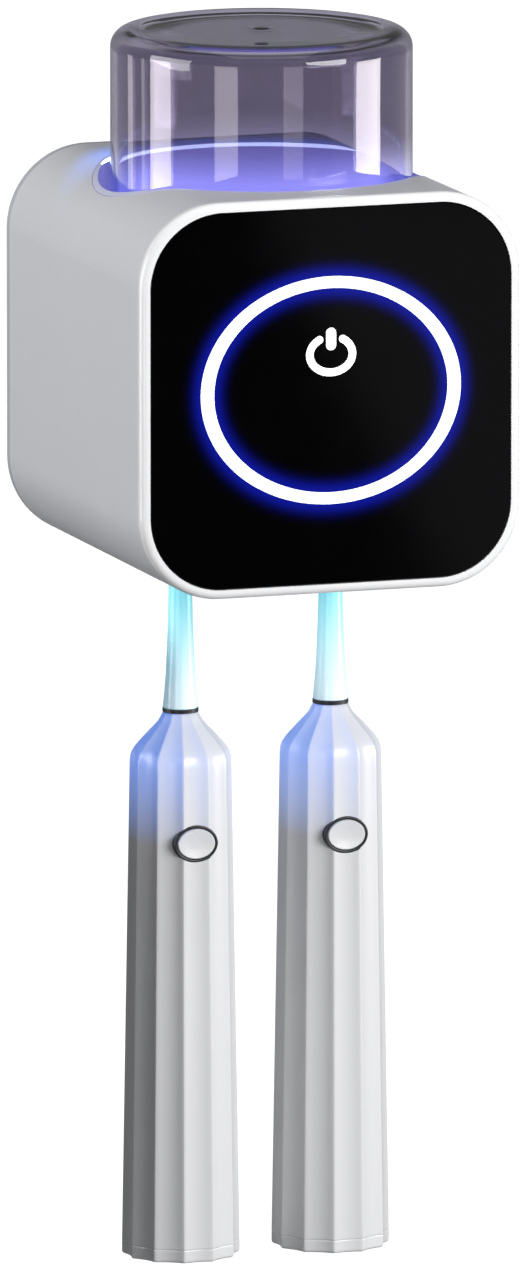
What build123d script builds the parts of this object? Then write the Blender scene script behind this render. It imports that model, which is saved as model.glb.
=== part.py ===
"""Wall-hung toothbrush sanitizer: a rounded cube with a glass front, a rinse cup in a
lit well on top, and two electric toothbrushes hanging by their heads in a lit chamber.

Millimetres. +Z is up, the wall is the plane Y = 0 and the front faces -Y. The origin
is the middle of the face that sticks to the wall.
"""

from build123d import *
from math import cos, radians, sin
import os

os.makedirs("parts", exist_ok=True)

# ---------------------------------------------------------------- driving dimensions

# housing
HOUSING_SIZE = 105.0          # width and height of the rounded cube
CORNER_RADIUS = 22.0
WALL = 2.5
FRONT_Y = -118.6              # front of the white rim
REAR_Y = -3.4                 # back of the rear cover
BEZEL_DEPTH = 3.0
REAR_COVER_DEPTH = 5.0
TONGUE = 4.0                  # how far bezel and rear cover plug into the shell
TONGUE_WALL = 2.0
FIT = 0.1                     # gap on each side of a push-in joint

# front glass, light ring and power mark
PANEL_SIZE = 100.0
PANEL_RADIUS = 20.0
PANEL_THICK = 2.2
PANEL_SINK = 0.3              # the glass lies this far behind the rim
RING_Z = 1.5
RING_OUTER_X = 36.0
RING_OUTER_Z = 30.2
RING_INNER_X = 32.3
RING_INNER_Z = 27.1
POWER_Z = 11.0
POWER_RADIUS_X = 5.9          # middle line of the broken circle
POWER_RADIUS_Z = 4.75
POWER_STROKE = 2.1
FRONT_LED_COUNT = 24

# rinse cup and its well
CUP_Y = -61.7
CUP_RADIUS = 39.9
CUP_WALL = 1.8
CUP_TOP_Z = 89.7
WELL_FLOOR_Z = 17.0
WELL_RADIUS = 43.2
WELL_WALL = 1.4
CUP_GAP = 0.2                 # under the cup's rim

# toothbrush ports and chamber
BRUSH_X = 21.0
BRUSH_Y = -56.8
PORT_RADIUS = 13.4
PORT_WALL = 1.6
PORT_PLATE_Z = -46.0
CHAMBER_HALF_X = 38.0
CHAMBER_FRONT_Y = -74.6
CHAMBER_REAR_Y = -40.1
CHAMBER_TOP_Z = 9.0
LINER_WALL = 1.2

# toothbrush
COLLAR_Z = -93.0              # top of the handle
HANDLE_BASE_Z = -239.2
HANDLE_SIDES = 12
HANDLE_RADIUS_BASE = 15.8     # to the corners of the twelve-sided section
HANDLE_RADIUS_TOP = 13.6
BASE_CAP_HEIGHT = 3.5
BUTTON_Z = -126.5
BUTTON_RADIUS_X = 6.1
BUTTON_RADIUS_Z = 4.9
HEAD_TOP_Z = -15.0
NECK_RADIUS = 3.0
SHAFT_RADIUS = 1.75

# wall bracket
PAD_THICK = 1.0
PLATE_THICK = 2.0
PLATE_WIDTH = 64.0
PLATE_HEIGHT = 72.0
RAIL_TOP_Z = 30.0
RAIL_HEIGHT = 36.0
RAIL_DEPTH = 4.0
RAIL_BACK_WIDTH = 34.0
RAIL_FRONT_WIDTH = 42.0
RAIL_PLAY = 0.3
WALL_SCREW_X = 26.5
WALL_SCREW_Z = 28.0
WALL_SCREW_RADIUS = 2.2

# charging socket, on the right side near the back
USB_Y = -18.0
USB_Z = -25.0

# ---------------------------------------------------------------- derived places

HALF = HOUSING_SIZE / 2
SHELL_FRONT_Y = FRONT_Y + BEZEL_DEPTH
SHELL_REAR_Y = REAR_Y - REAR_COVER_DEPTH
INNER_SIZE = HOUSING_SIZE - 2 * WALL
INNER_RADIUS = CORNER_RADIUS - WALL
GLASS_FRONT_Y = FRONT_Y + PANEL_SINK
GLASS_BACK_Y = GLASS_FRONT_Y + PANEL_THICK
CARRIER_THICK = 3.0
CARRIER_BACK_Y = GLASS_BACK_Y + CARRIER_THICK
FRONT_BOARD_Y = CARRIER_BACK_Y + 2.0
BOARD_THICK = 1.6
RING_MID_X = (RING_OUTER_X + RING_INNER_X) / 2
RING_MID_Z = (RING_OUTER_Z + RING_INNER_Z) / 2
BODY_TOP_Z = COLLAR_Z - 17.0          # top of the straight bore inside
CAP_TOP_Z = HANDLE_BASE_Z + BASE_CAP_HEIGHT
SIDES = {"left": -BRUSH_X, "right": BRUSH_X}


def facing_front(y):
    """Sketch plane at depth y whose x runs right and whose y runs up; it extrudes to the wall."""
    return Plane(origin=(0, y, 0), x_dir=(1, 0, 0), z_dir=(0, -1, 0))


def save(piece, label):
    """Name a finished piece and write it to its own file."""
    piece.part.label = label
    export_step(piece.part, f"parts/{label}.step")


def block(x0, x1, y0, y1, z0, z1, mode=Mode.ADD):
    """Box from its limits, placed in the part being built."""
    with Locations(((x0 + x1) / 2, (y0 + y1) / 2, (z0 + z1) / 2)):
        Box(x1 - x0, y1 - y0, z1 - z0, mode=mode)


def slab(size, radius, y0, y1, mode=Mode.ADD):
    """Rounded square plate, square to Y, from depth y0 back to y1."""
    with BuildSketch(facing_front(y0)) as outline:
        RectangleRounded(size, size, radius)
    extrude(outline.sketch, amount=-(y1 - y0), mode=mode)


def disc(x, y, z0, z1, radius, mode=Mode.ADD):
    """Upright cylinder about (x, y), from height z0 to z1."""
    with Locations((x, y, (z0 + z1) / 2)):
        Cylinder(radius, z1 - z0, mode=mode)


def rod_y(x, z, y0, y1, radius, mode=Mode.ADD):
    """Cylinder along Y about (x, z), from depth y0 to y1."""
    with Locations(Location((x, (y0 + y1) / 2, z), (90, 0, 0))):
        Cylinder(radius, y1 - y0, mode=mode)


def oval(x, z, y0, y1, radius_x, radius_z, mode=Mode.ADD):
    """Elliptical plug along Y about (x, z), from depth y0 to y1."""
    with BuildSketch(facing_front(y0)) as outline:
        with Locations((x, z)):
            Ellipse(radius_x, radius_z)
    extrude(outline.sketch, amount=-(y1 - y0), mode=mode)


def ring_stations(count):
    """Evenly turned places round the middle of the light ring, as (x, z)."""
    turns = [radians(360 * (i + 0.5) / count) for i in range(count)]
    return [(RING_MID_X * cos(t), RING_Z + RING_MID_Z * sin(t)) for t in turns]


# ---------------------------------------------------------------- wall bracket

PLATE_BACK_Y = -PAD_THICK
PLATE_FRONT_Y = PLATE_BACK_Y - PLATE_THICK
RAIL_FRONT_Y = PLATE_FRONT_Y - RAIL_DEPTH
PAD_HOLE_RADIUS = WALL_SCREW_RADIUS + 0.8
COUNTERSINK_RADIUS = WALL_SCREW_RADIUS * 1.5
PLATE_CORNER = 6.0
PAD_INSET = 1.0               # the pad stops short of the plate's edge
WALL_SCREWS = [(x, z) for x in (-WALL_SCREW_X, WALL_SCREW_X) for z in (-WALL_SCREW_Z, WALL_SCREW_Z)]

with BuildPart() as adhesive_pad:
    with BuildSketch(facing_front(PLATE_BACK_Y)):
        RectangleRounded(PLATE_WIDTH - 2 * PAD_INSET, PLATE_HEIGHT - 2 * PAD_INSET,
                         PLATE_CORNER - PAD_INSET)
        with Locations(*WALL_SCREWS):
            Circle(PAD_HOLE_RADIUS, mode=Mode.SUBTRACT)
    extrude(amount=-PAD_THICK)
save(adhesive_pad, "adhesive_pad")

with BuildPart() as wall_plate:
    with BuildSketch(facing_front(PLATE_FRONT_Y)):
        RectangleRounded(PLATE_WIDTH, PLATE_HEIGHT, PLATE_CORNER)
    extrude(amount=-PLATE_THICK)
    chamfer(wall_plate.faces().sort_by(Axis.Y)[0].edges(), 0.5)
    # dovetail rail, wider at the front, that the rear cover slides down over
    with BuildSketch(Plane.XY.offset(RAIL_TOP_Z - RAIL_HEIGHT)):
        Polygon(
            (-RAIL_BACK_WIDTH / 2, PLATE_FRONT_Y), (RAIL_BACK_WIDTH / 2, PLATE_FRONT_Y),
            (RAIL_FRONT_WIDTH / 2, RAIL_FRONT_Y), (-RAIL_FRONT_WIDTH / 2, RAIL_FRONT_Y),
            align=None,
        )
    extrude(amount=RAIL_HEIGHT)
    for x, z in WALL_SCREWS:
        rod_y(x, z, PLATE_FRONT_Y, PLATE_BACK_Y, WALL_SCREW_RADIUS, Mode.SUBTRACT)
        with Locations(Location((x, PLATE_FRONT_Y, z), (90, 0, 0))):
            CounterSinkHole(WALL_SCREW_RADIUS, COUNTERSINK_RADIUS, depth=PLATE_THICK)
save(wall_plate, "wall_plate")

# ---------------------------------------------------------------- housing shell

SCREW_BOSS = 40.0             # rear cover screws, from the middle
BOSS_RADIUS = 4.2
BOSS_LENGTH = 16.0
BOSS_RIB_LENGTH = 8.0
BOSS_RIB_THICK = 2.4
BOSS_RIB_OUT = 1.08           # the rib's middle, as a share of the boss's place
PILOT_RADIUS = 1.25
USB_POCKET_Y = 15.0
USB_POCKET_Z = 9.0
USB_POCKET_DEEP = 1.4
USB_SLOT_Y = 9.6
USB_SLOT_Z = 3.8
COVER_SCREWS = [(x, z) for x in (-SCREW_BOSS, SCREW_BOSS) for z in (-SCREW_BOSS, SCREW_BOSS)]
BOSS_FRONT_Y = SHELL_REAR_Y - TONGUE - BOSS_LENGTH

with BuildPart() as housing_shell:
    slab(HOUSING_SIZE, CORNER_RADIUS, SHELL_FRONT_Y, SHELL_REAR_Y)
    slab(INNER_SIZE, INNER_RADIUS, SHELL_FRONT_Y, SHELL_REAR_Y, Mode.SUBTRACT)
    # screw bosses in the four rear corners, each on a rib that runs out to the wall
    for x, z in COVER_SCREWS:
        rod_y(x, z, BOSS_FRONT_Y, SHELL_REAR_Y - TONGUE, BOSS_RADIUS)
        with BuildSketch(facing_front(BOSS_FRONT_Y)):
            turn = 45 if x * z > 0 else -45
            with Locations(Location((x * BOSS_RIB_OUT, z * BOSS_RIB_OUT, 0), (0, 0, turn))):
                Rectangle(BOSS_RIB_LENGTH, BOSS_RIB_THICK)
        extrude(amount=-BOSS_LENGTH)
        rod_y(x, z, BOSS_FRONT_Y + 3, SHELL_REAR_Y - TONGUE, PILOT_RADIUS, Mode.SUBTRACT)
    # round mouth of the cup well through the top, and the two ports through the underside
    disc(0, CUP_Y, 0, HALF + 1, WELL_RADIUS + WELL_WALL + FIT, Mode.SUBTRACT)
    for x in SIDES.values():
        disc(x, BRUSH_Y, -HALF - 1, 0, PORT_RADIUS + PORT_WALL + FIT, Mode.SUBTRACT)
    # charging socket: a slot through the right wall in a shallow pocket for its cover
    block(HALF - USB_POCKET_DEEP, HALF + 1, USB_Y - USB_POCKET_Y / 2, USB_Y + USB_POCKET_Y / 2,
          USB_Z - USB_POCKET_Z / 2, USB_Z + USB_POCKET_Z / 2, Mode.SUBTRACT)
    block(HALF - WALL - 1, HALF, USB_Y - USB_SLOT_Y / 2, USB_Y + USB_SLOT_Y / 2,
          USB_Z - USB_SLOT_Z / 2, USB_Z + USB_SLOT_Z / 2, Mode.SUBTRACT)
save(housing_shell, "housing_shell")

# ---------------------------------------------------------------- rear cover

COVER_PLATE = 2.5
CHANNEL_FRONT_Y = RAIL_FRONT_Y - RAIL_PLAY
CHANNEL_BACK_HALF = RAIL_BACK_WIDTH / 2 + RAIL_PLAY
CHANNEL_FRONT_HALF = RAIL_FRONT_WIDTH / 2 + RAIL_PLAY
CHANNEL_BOX = 27.0            # half width of the box that holds the channel
CHANNEL_FOOT_Z = -HALF + 5.0
CHANNEL_BASE_Z = RAIL_TOP_Z - RAIL_HEIGHT - 3.0
SCREW_RADIUS = 1.5
SCREW_HEAD_RADIUS = 2.8
SCREW_SINK = 2.0
SCREW_THREAD = 8.0            # how far a screw reaches into its boss
DRIVER_SLOT = (3.2, 0.8)      # arm length and width of a screw's cross slot
DRIVER_DEEP = 0.8

with BuildPart() as back_cover:
    slab(HOUSING_SIZE, CORNER_RADIUS, SHELL_REAR_Y, REAR_Y)
    fillet(back_cover.faces().sort_by(Axis.Y)[-1].edges(), 3.0)
    slab(INNER_SIZE - 2 * FIT, INNER_RADIUS - FIT, SHELL_REAR_Y - TONGUE, SHELL_REAR_Y)
    slab(INNER_SIZE - 2 * TONGUE_WALL, INNER_RADIUS - TONGUE_WALL, SHELL_REAR_Y - TONGUE,
         REAR_Y - COVER_PLATE, Mode.SUBTRACT)
    block(-CHANNEL_BOX, CHANNEL_BOX, CHANNEL_FRONT_Y - 2.0, REAR_Y - 1,
          CHANNEL_FOOT_Z, RAIL_TOP_Z + 3)
    for x, z in COVER_SCREWS:
        rod_y(x, z, SHELL_REAR_Y - TONGUE + FIT, REAR_Y - 1, BOSS_RADIUS)
    # dovetail channel, closed at the top where the rail carries the housing; below it a
    # wider pocket lets the rail out once the housing is lifted by the rail's height
    with BuildSketch(Plane.XY.offset(CHANNEL_BASE_Z)):
        Polygon(
            (-CHANNEL_BACK_HALF, PLATE_FRONT_Y), (CHANNEL_BACK_HALF, PLATE_FRONT_Y),
            (CHANNEL_FRONT_HALF, CHANNEL_FRONT_Y), (-CHANNEL_FRONT_HALF, CHANNEL_FRONT_Y),
            align=None,
        )
    extrude(amount=RAIL_TOP_Z - CHANNEL_BASE_Z, mode=Mode.SUBTRACT)
    block(-CHANNEL_FRONT_HALF, CHANNEL_FRONT_HALF, CHANNEL_FRONT_Y, REAR_Y + 1,
          CHANNEL_FOOT_Z + 2, CHANNEL_BASE_Z, Mode.SUBTRACT)
    for x, z in COVER_SCREWS:
        rod_y(x, z, SHELL_REAR_Y - TONGUE, REAR_Y, SCREW_RADIUS + FIT, Mode.SUBTRACT)
        rod_y(x, z, REAR_Y - SCREW_SINK, REAR_Y + 1, SCREW_HEAD_RADIUS + 0.2, Mode.SUBTRACT)
save(back_cover, "back_cover")

with BuildPart() as back_cover_screws:
    for x, z in COVER_SCREWS:
        rod_y(x, z, REAR_Y - SCREW_SINK, REAR_Y - 0.2, SCREW_HEAD_RADIUS)
        rod_y(x, z, SHELL_REAR_Y - TONGUE - SCREW_THREAD, REAR_Y - SCREW_SINK, PILOT_RADIUS - 0.05)
        with BuildSketch(facing_front(REAR_Y - 0.2 - DRIVER_DEEP)):
            with Locations((x, z)):
                Rectangle(DRIVER_SLOT[0], DRIVER_SLOT[1])
                Rectangle(DRIVER_SLOT[1], DRIVER_SLOT[0])
        extrude(amount=-2 * DRIVER_DEEP, mode=Mode.SUBTRACT)
save(back_cover_screws, "back_cover_screws")

# ---------------------------------------------------------------- front bezel and glass

POCKET_DEEP = 2.6
LEDGE_OPENING = 94.0
LEDGE_RADIUS = 17.0

with BuildPart() as front_bezel:
    slab(HOUSING_SIZE, CORNER_RADIUS, FRONT_Y, SHELL_FRONT_Y)
    fillet(front_bezel.faces().sort_by(Axis.Y)[0].edges(), 1.8)
    slab(INNER_SIZE - 2 * FIT, INNER_RADIUS - FIT, SHELL_FRONT_Y, SHELL_FRONT_Y + TONGUE)
    slab(PANEL_SIZE, PANEL_RADIUS, FRONT_Y - 1, FRONT_Y + POCKET_DEEP, Mode.SUBTRACT)
    slab(LEDGE_OPENING, LEDGE_RADIUS, FRONT_Y, SHELL_FRONT_Y + TONGUE, Mode.SUBTRACT)
save(front_bezel, "front_bezel")

PANEL_GAP = 0.15

with BuildPart() as front_panel:
    slab(PANEL_SIZE - 2 * PANEL_GAP, PANEL_RADIUS - PANEL_GAP, GLASS_FRONT_Y, GLASS_BACK_Y)
    chamfer(front_panel.faces().sort_by(Axis.Y)[0].edges(), 0.25)
    oval(0, RING_Z, GLASS_FRONT_Y - 1, GLASS_BACK_Y + 1, RING_OUTER_X + 0.05,
         RING_OUTER_Z + 0.05, Mode.SUBTRACT)
save(front_panel, "front_panel")

LIGHT_GROOVE = 1.8            # how far the light ring sinks into the carrier

with BuildPart() as light_ring:
    oval(0, RING_Z, GLASS_FRONT_Y, GLASS_BACK_Y + LIGHT_GROOVE, RING_OUTER_X, RING_OUTER_Z)
    oval(0, RING_Z, GLASS_FRONT_Y - 1, GLASS_BACK_Y + LIGHT_GROOVE + 1, RING_INNER_X,
         RING_INNER_Z, Mode.SUBTRACT)
save(light_ring, "light_ring")

BAR_LENGTH = 6.0
BAR_WIDTH = 2.8
BAR_Z = POWER_Z + 4.1
GAP_HALF_ANGLE = 33.0         # half of the opening at the top of the broken circle


def power_mark(stroke):
    """Sketch of the power mark: a broken oval with round ends, and a bar through its gap."""
    gap = radians(90 - GAP_HALF_ANGLE)
    end = (POWER_RADIUS_X * cos(gap), POWER_Z + POWER_RADIUS_Z * sin(gap))
    with Locations((0, POWER_Z)):
        Ellipse(POWER_RADIUS_X + stroke / 2, POWER_RADIUS_Z + stroke / 2)
        Ellipse(POWER_RADIUS_X - stroke / 2, POWER_RADIUS_Z - stroke / 2, mode=Mode.SUBTRACT)
        Polygon((0, 0), (-3 * end[0], 3 * (end[1] - POWER_Z)), (3 * end[0], 3 * (end[1] - POWER_Z)),
                align=None, mode=Mode.SUBTRACT)
    with Locations((end[0], end[1]), (-end[0], end[1])):
        Circle(stroke / 2)
    with Locations(Location((0, BAR_Z, 0), (0, 0, 90))):
        SlotOverall(BAR_LENGTH, BAR_WIDTH)


with BuildPart() as power_symbol:
    with BuildSketch(facing_front(GLASS_FRONT_Y)):
        power_mark(POWER_STROKE)
    extrude(amount=-PANEL_THICK)
save(power_symbol, "power_symbol")

with BuildPart() as touch_plate:
    oval(0, RING_Z, GLASS_FRONT_Y, GLASS_BACK_Y, RING_INNER_X - 0.05, RING_INNER_Z - 0.05)
    add(power_symbol.part, mode=Mode.SUBTRACT)
save(touch_plate, "touch_plate")

# ---------------------------------------------------------------- parts behind the glass

CARRIER_SIZE = LEDGE_OPENING - 0.4
BOARD_SCREW = 35.0
FRONT_SCREWS = [(x, z) for x in (-BOARD_SCREW, BOARD_SCREW) for z in (-BOARD_SCREW, BOARD_SCREW)]
LED_HOLE_RADIUS = 1.4
MARK_WINDOW = 8.0             # radius of the opening behind the power mark
SELF_TAP_RADIUS = 1.0         # hole that a board screw cuts its thread in
BOARD_HOLE_RADIUS = 1.3
FRONT_BOARD_SIZE = 80.0
FRONT_BOARD_CORNER = 8.0

with BuildPart() as panel_carrier:
    slab(CARRIER_SIZE, LEDGE_RADIUS - 0.2, GLASS_BACK_Y, CARRIER_BACK_Y)
    oval(0, RING_Z, GLASS_BACK_Y, GLASS_BACK_Y + LIGHT_GROOVE, RING_OUTER_X + 0.05,
         RING_OUTER_Z + 0.05, Mode.SUBTRACT)
    oval(0, RING_Z, GLASS_BACK_Y, GLASS_BACK_Y + LIGHT_GROOVE, RING_INNER_X - 0.05,
         RING_INNER_Z - 0.05)
    for x, z in ring_stations(FRONT_LED_COUNT):
        rod_y(x, z, GLASS_BACK_Y, CARRIER_BACK_Y, LED_HOLE_RADIUS, Mode.SUBTRACT)
    rod_y(0, POWER_Z, GLASS_BACK_Y, CARRIER_BACK_Y, MARK_WINDOW, Mode.SUBTRACT)
    for x, z in FRONT_SCREWS:
        rod_y(x, z, CARRIER_BACK_Y, FRONT_BOARD_Y, 3.2)
        rod_y(x, z, GLASS_BACK_Y + 1, FRONT_BOARD_Y, SELF_TAP_RADIUS, Mode.SUBTRACT)
save(panel_carrier, "panel_carrier")

with BuildPart() as front_board:
    slab(FRONT_BOARD_SIZE, FRONT_BOARD_CORNER, FRONT_BOARD_Y, FRONT_BOARD_Y + BOARD_THICK)
    for x, z in FRONT_SCREWS:
        rod_y(x, z, FRONT_BOARD_Y, FRONT_BOARD_Y + BOARD_THICK, BOARD_HOLE_RADIUS, Mode.SUBTRACT)
save(front_board, "front_board")

LED_THICK = 1.2
RING_LED = 2.8                # side of each lamp behind the ring
MARK_LED = 2.0
MARK_LED_X = 3.5
UV_LED = 3.5

with BuildPart() as front_leds:
    for x, z in ring_stations(FRONT_LED_COUNT):
        with Locations((x, FRONT_BOARD_Y - LED_THICK / 2, z)):
            Box(RING_LED, LED_THICK, RING_LED)
    for x in (-MARK_LED_X, MARK_LED_X):
        with Locations((x, FRONT_BOARD_Y - LED_THICK / 2, POWER_Z)):
            Box(MARK_LED, LED_THICK, MARK_LED)
save(front_leds, "front_leds")

# ---------------------------------------------------------------- cup well and cup

WELL_OUTER = WELL_RADIUS + WELL_WALL
FLOOR_THICK = 2.0
LENS_RADIUS = 17.0
LENS_FLANGE = 19.3
LENS_HEIGHT = 7.0
CUP_BOARD_Z = 10.4            # underside of the lamp board below the well
CUP_BOARD_RADIUS = 24.0
CUP_POST_RADIUS = 20.5        # circle of the three posts
CUP_POSTS = [
    (CUP_POST_RADIUS * cos(radians(a)), CUP_Y + CUP_POST_RADIUS * sin(radians(a)))
    for a in (90, 210, 330)
]
POST_RADIUS = 2.4
POST_HOLE_RADIUS = 0.9

with BuildPart() as cup_well:
    disc(0, CUP_Y, WELL_FLOOR_Z - FLOOR_THICK, HALF + 1, WELL_OUTER)
    disc(0, CUP_Y, WELL_FLOOR_Z, HALF + 2, WELL_RADIUS, Mode.SUBTRACT)
    fillet(
        cup_well.edges().filter_by(GeomType.CIRCLE).group_by(Axis.Z)[1].sort_by(SortBy.RADIUS)[0], 1.2
    )
    # the lip follows the rounded top of the housing
    slab(HOUSING_SIZE, CORNER_RADIUS, FRONT_Y, REAR_Y, Mode.INTERSECT)
    disc(0, CUP_Y, WELL_FLOOR_Z - FLOOR_THICK, WELL_FLOOR_Z, LENS_RADIUS + 0.2, Mode.SUBTRACT)
    disc(0, CUP_Y, WELL_FLOOR_Z - 1, WELL_FLOOR_Z, LENS_FLANGE + 0.2, Mode.SUBTRACT)
    for x, y in CUP_POSTS:
        disc(x, y, CUP_BOARD_Z + BOARD_THICK, WELL_FLOOR_Z - FLOOR_THICK, POST_RADIUS)
        disc(x, y, CUP_BOARD_Z + BOARD_THICK, WELL_FLOOR_Z - FLOOR_THICK, POST_HOLE_RADIUS,
             Mode.SUBTRACT)
save(cup_well, "cup_well")

DOME_RADIUS = (LENS_RADIUS**2 + LENS_HEIGHT**2) / (2 * LENS_HEIGHT)
DOME_WALL = 1.6
DOME_TOP_Z = WELL_FLOOR_Z + LENS_HEIGHT
DOME_TURN = radians(22)       # a point half way down the outside of the dome
INNER_TOP_Z = DOME_TOP_Z - DOME_WALL
INNER_MID = ((LENS_RADIUS - DOME_WALL) * 0.55, INNER_TOP_Z - 1.75)

with BuildPart() as cup_lens:
    with BuildSketch(Plane.XZ.offset(-CUP_Y)):
        with BuildLine():
            ThreePointArc(
                (LENS_RADIUS, WELL_FLOOR_Z),
                (DOME_RADIUS * sin(DOME_TURN), DOME_TOP_Z - DOME_RADIUS * (1 - cos(DOME_TURN))),
                (0, DOME_TOP_Z),
            )
            Line((0, DOME_TOP_Z), (0, INNER_TOP_Z))
            ThreePointArc((0, INNER_TOP_Z), INNER_MID, (LENS_RADIUS - DOME_WALL, WELL_FLOOR_Z - 1))
            Polyline(
                (LENS_RADIUS - DOME_WALL, WELL_FLOOR_Z - 1), (LENS_FLANGE, WELL_FLOOR_Z - 1),
                (LENS_FLANGE, WELL_FLOOR_Z), (LENS_RADIUS, WELL_FLOOR_Z),
            )
        make_face()
    revolve(axis=Axis((0, CUP_Y, 0), (0, 0, 1)))
save(cup_lens, "cup_lens")

with BuildPart() as cup_uv_board:
    disc(0, CUP_Y, CUP_BOARD_Z, CUP_BOARD_Z + BOARD_THICK, CUP_BOARD_RADIUS)
    for x, y in CUP_POSTS:
        disc(x, y, CUP_BOARD_Z, CUP_BOARD_Z + BOARD_THICK, BOARD_HOLE_RADIUS, Mode.SUBTRACT)
save(cup_uv_board, "cup_uv_board")

with BuildPart() as cup_uv_leds:
    with Locations((0, CUP_Y, CUP_BOARD_Z + BOARD_THICK + LED_THICK / 2)):
        Box(UV_LED, UV_LED, LED_THICK)
        with PolarLocations(9.0, 6):
            Box(UV_LED, UV_LED, LED_THICK)
save(cup_uv_leds, "cup_uv_leds")

CUP_RIM_Z = WELL_FLOOR_Z + CUP_GAP
CUP_BASE_THICK = 2.4
CUP_EDGE = 5.0                # rounding where the wall meets the base
PUNT_RADIUS = 32.0            # shallow hollow moulded in the base
PUNT_DEEP = 0.7

with BuildPart() as cup:
    disc(0, CUP_Y, CUP_RIM_Z, CUP_TOP_Z, CUP_RADIUS)
    fillet(cup.faces().sort_by(Axis.Z)[-1].edges(), CUP_EDGE)
    disc(0, CUP_Y, CUP_TOP_Z - PUNT_DEEP, CUP_TOP_Z, PUNT_RADIUS, Mode.SUBTRACT)
    with BuildSketch(Plane.XY.offset(CUP_RIM_Z)):
        with Locations((0, CUP_Y)):
            Circle(CUP_RADIUS - CUP_WALL)
    extrude(amount=CUP_TOP_Z - CUP_BASE_THICK - CUP_RIM_Z, mode=Mode.SUBTRACT)
    inner_edge = cup.edges().filter_by(GeomType.CIRCLE).filter_by_position(
        Axis.Z, CUP_TOP_Z - CUP_BASE_THICK - 0.01, CUP_TOP_Z - CUP_BASE_THICK + 0.01
    )
    fillet(inner_edge, CUP_EDGE - CUP_WALL)
    rim_edges = cup.edges().filter_by(GeomType.CIRCLE).group_by(Axis.Z)[0]
    fillet(rim_edges, CUP_WALL * 0.42)
save(cup, "cup")

# ---------------------------------------------------------------- ports and grips

PORT_PLATE_THICK = 2.0
COLLAR_TOP_Z = PORT_PLATE_Z + PORT_PLATE_THICK + 1.5
COLLAR_FLANGE = 17.2
PORT_OUTER = PORT_RADIUS + PORT_WALL
PORT_PLATE_CORNER = 4.0

with BuildPart() as port_plate:
    with BuildSketch(Plane.XY.offset(PORT_PLATE_Z)):
        with Locations((0, (CHAMBER_FRONT_Y + CHAMBER_REAR_Y) / 2)):
            RectangleRounded(2 * CHAMBER_HALF_X + 4, CHAMBER_REAR_Y - CHAMBER_FRONT_Y + 8,
                             PORT_PLATE_CORNER)
        for x in SIDES.values():
            with Locations((x, BRUSH_Y)):
                Circle(PORT_OUTER + FIT, mode=Mode.SUBTRACT)
    extrude(amount=PORT_PLATE_THICK)
save(port_plate, "port_plate")

GRIP_Z = -48.5                # underside of the soft grip
GRIP_THICK = 2.4
GRIP_RING_INNER = 12.3
FINGER_WIDTH = 2.6
FINGER_TIP_RADIUS = NECK_RADIUS + 0.3
FINGER_TIP_WALL = 1.1
SLIT_LENGTH = 12.0
SLIT_WIDTH = 1.0

for side, x in SIDES.items():
    with BuildPart() as port_collar:
        disc(x, BRUSH_Y, -HALF - 1, COLLAR_TOP_Z, PORT_OUTER)
        disc(x, BRUSH_Y, PORT_PLATE_Z - 1.8, PORT_PLATE_Z, COLLAR_FLANGE)
        # the lower lip follows the rounded underside of the housing
        slab(HOUSING_SIZE, CORNER_RADIUS, FRONT_Y, REAR_Y, Mode.INTERSECT)
        disc(x, BRUSH_Y, -HALF - 2, COLLAR_TOP_Z + 1, PORT_RADIUS, Mode.SUBTRACT)
    save(port_collar, f"port_collar_{side}")

    with BuildPart() as grip:
        disc(x, BRUSH_Y, GRIP_Z, GRIP_Z + GRIP_THICK, PORT_RADIUS - 0.02)
        disc(x, BRUSH_Y, GRIP_Z, GRIP_Z + GRIP_THICK, GRIP_RING_INNER, Mode.SUBTRACT)
        with BuildSketch(Plane.XY.offset(GRIP_Z + 0.4)):
            with Locations((x, BRUSH_Y)):
                Rectangle(2 * GRIP_RING_INNER + 0.6, FINGER_WIDTH)
                Rectangle(FINGER_WIDTH, 2 * GRIP_RING_INNER + 0.6)
                Circle(FINGER_TIP_RADIUS + FINGER_TIP_WALL)
                Circle(FINGER_TIP_RADIUS, mode=Mode.SUBTRACT)
                with Locations(Location((0, 0, 0), (0, 0, 45))):
                    Rectangle(SLIT_LENGTH, SLIT_WIDTH, mode=Mode.SUBTRACT)
                    Rectangle(SLIT_WIDTH, SLIT_LENGTH, mode=Mode.SUBTRACT)
        extrude(amount=GRIP_THICK - 0.8)
    save(grip, f"grip_{side}")

# ---------------------------------------------------------------- lamp chamber

LINER_BASE_Z = PORT_PLATE_Z + PORT_PLATE_THICK
LAMP_BOARD_Y = CHAMBER_FRONT_Y - 2.0
MAIN_BOARD_Y = -37.1
MAIN_SCREWS = [(x, z) for x in (-32.0, 32.0) for z in (-38.0, -17.0)]
LAMP_SCREWS = [(-31.0, -23.0), (31.0, -23.0)]
LAMP_STATIONS = [(x, z) for x in (-28.0, -14.0, 0.0, 14.0, 28.0) for z in (-31.0, -15.0)]
LAMP_WINDOW_RADIUS = 2.6
LINER_CORNER = 4.0
LAMP_POST_RADIUS = 2.4
MAIN_POST_RADIUS = 3.2
LAMP_LED = 3.4
LAMP_LED_STAND = 1.5
LAMP_BOARD_HALF_X = 34.0
LAMP_BOARD_Z = (-38.0, -8.0)
MAIN_BOARD_HALF_X = 36.0
MAIN_BOARD_Z = (-42.0, 9.0)

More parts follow.
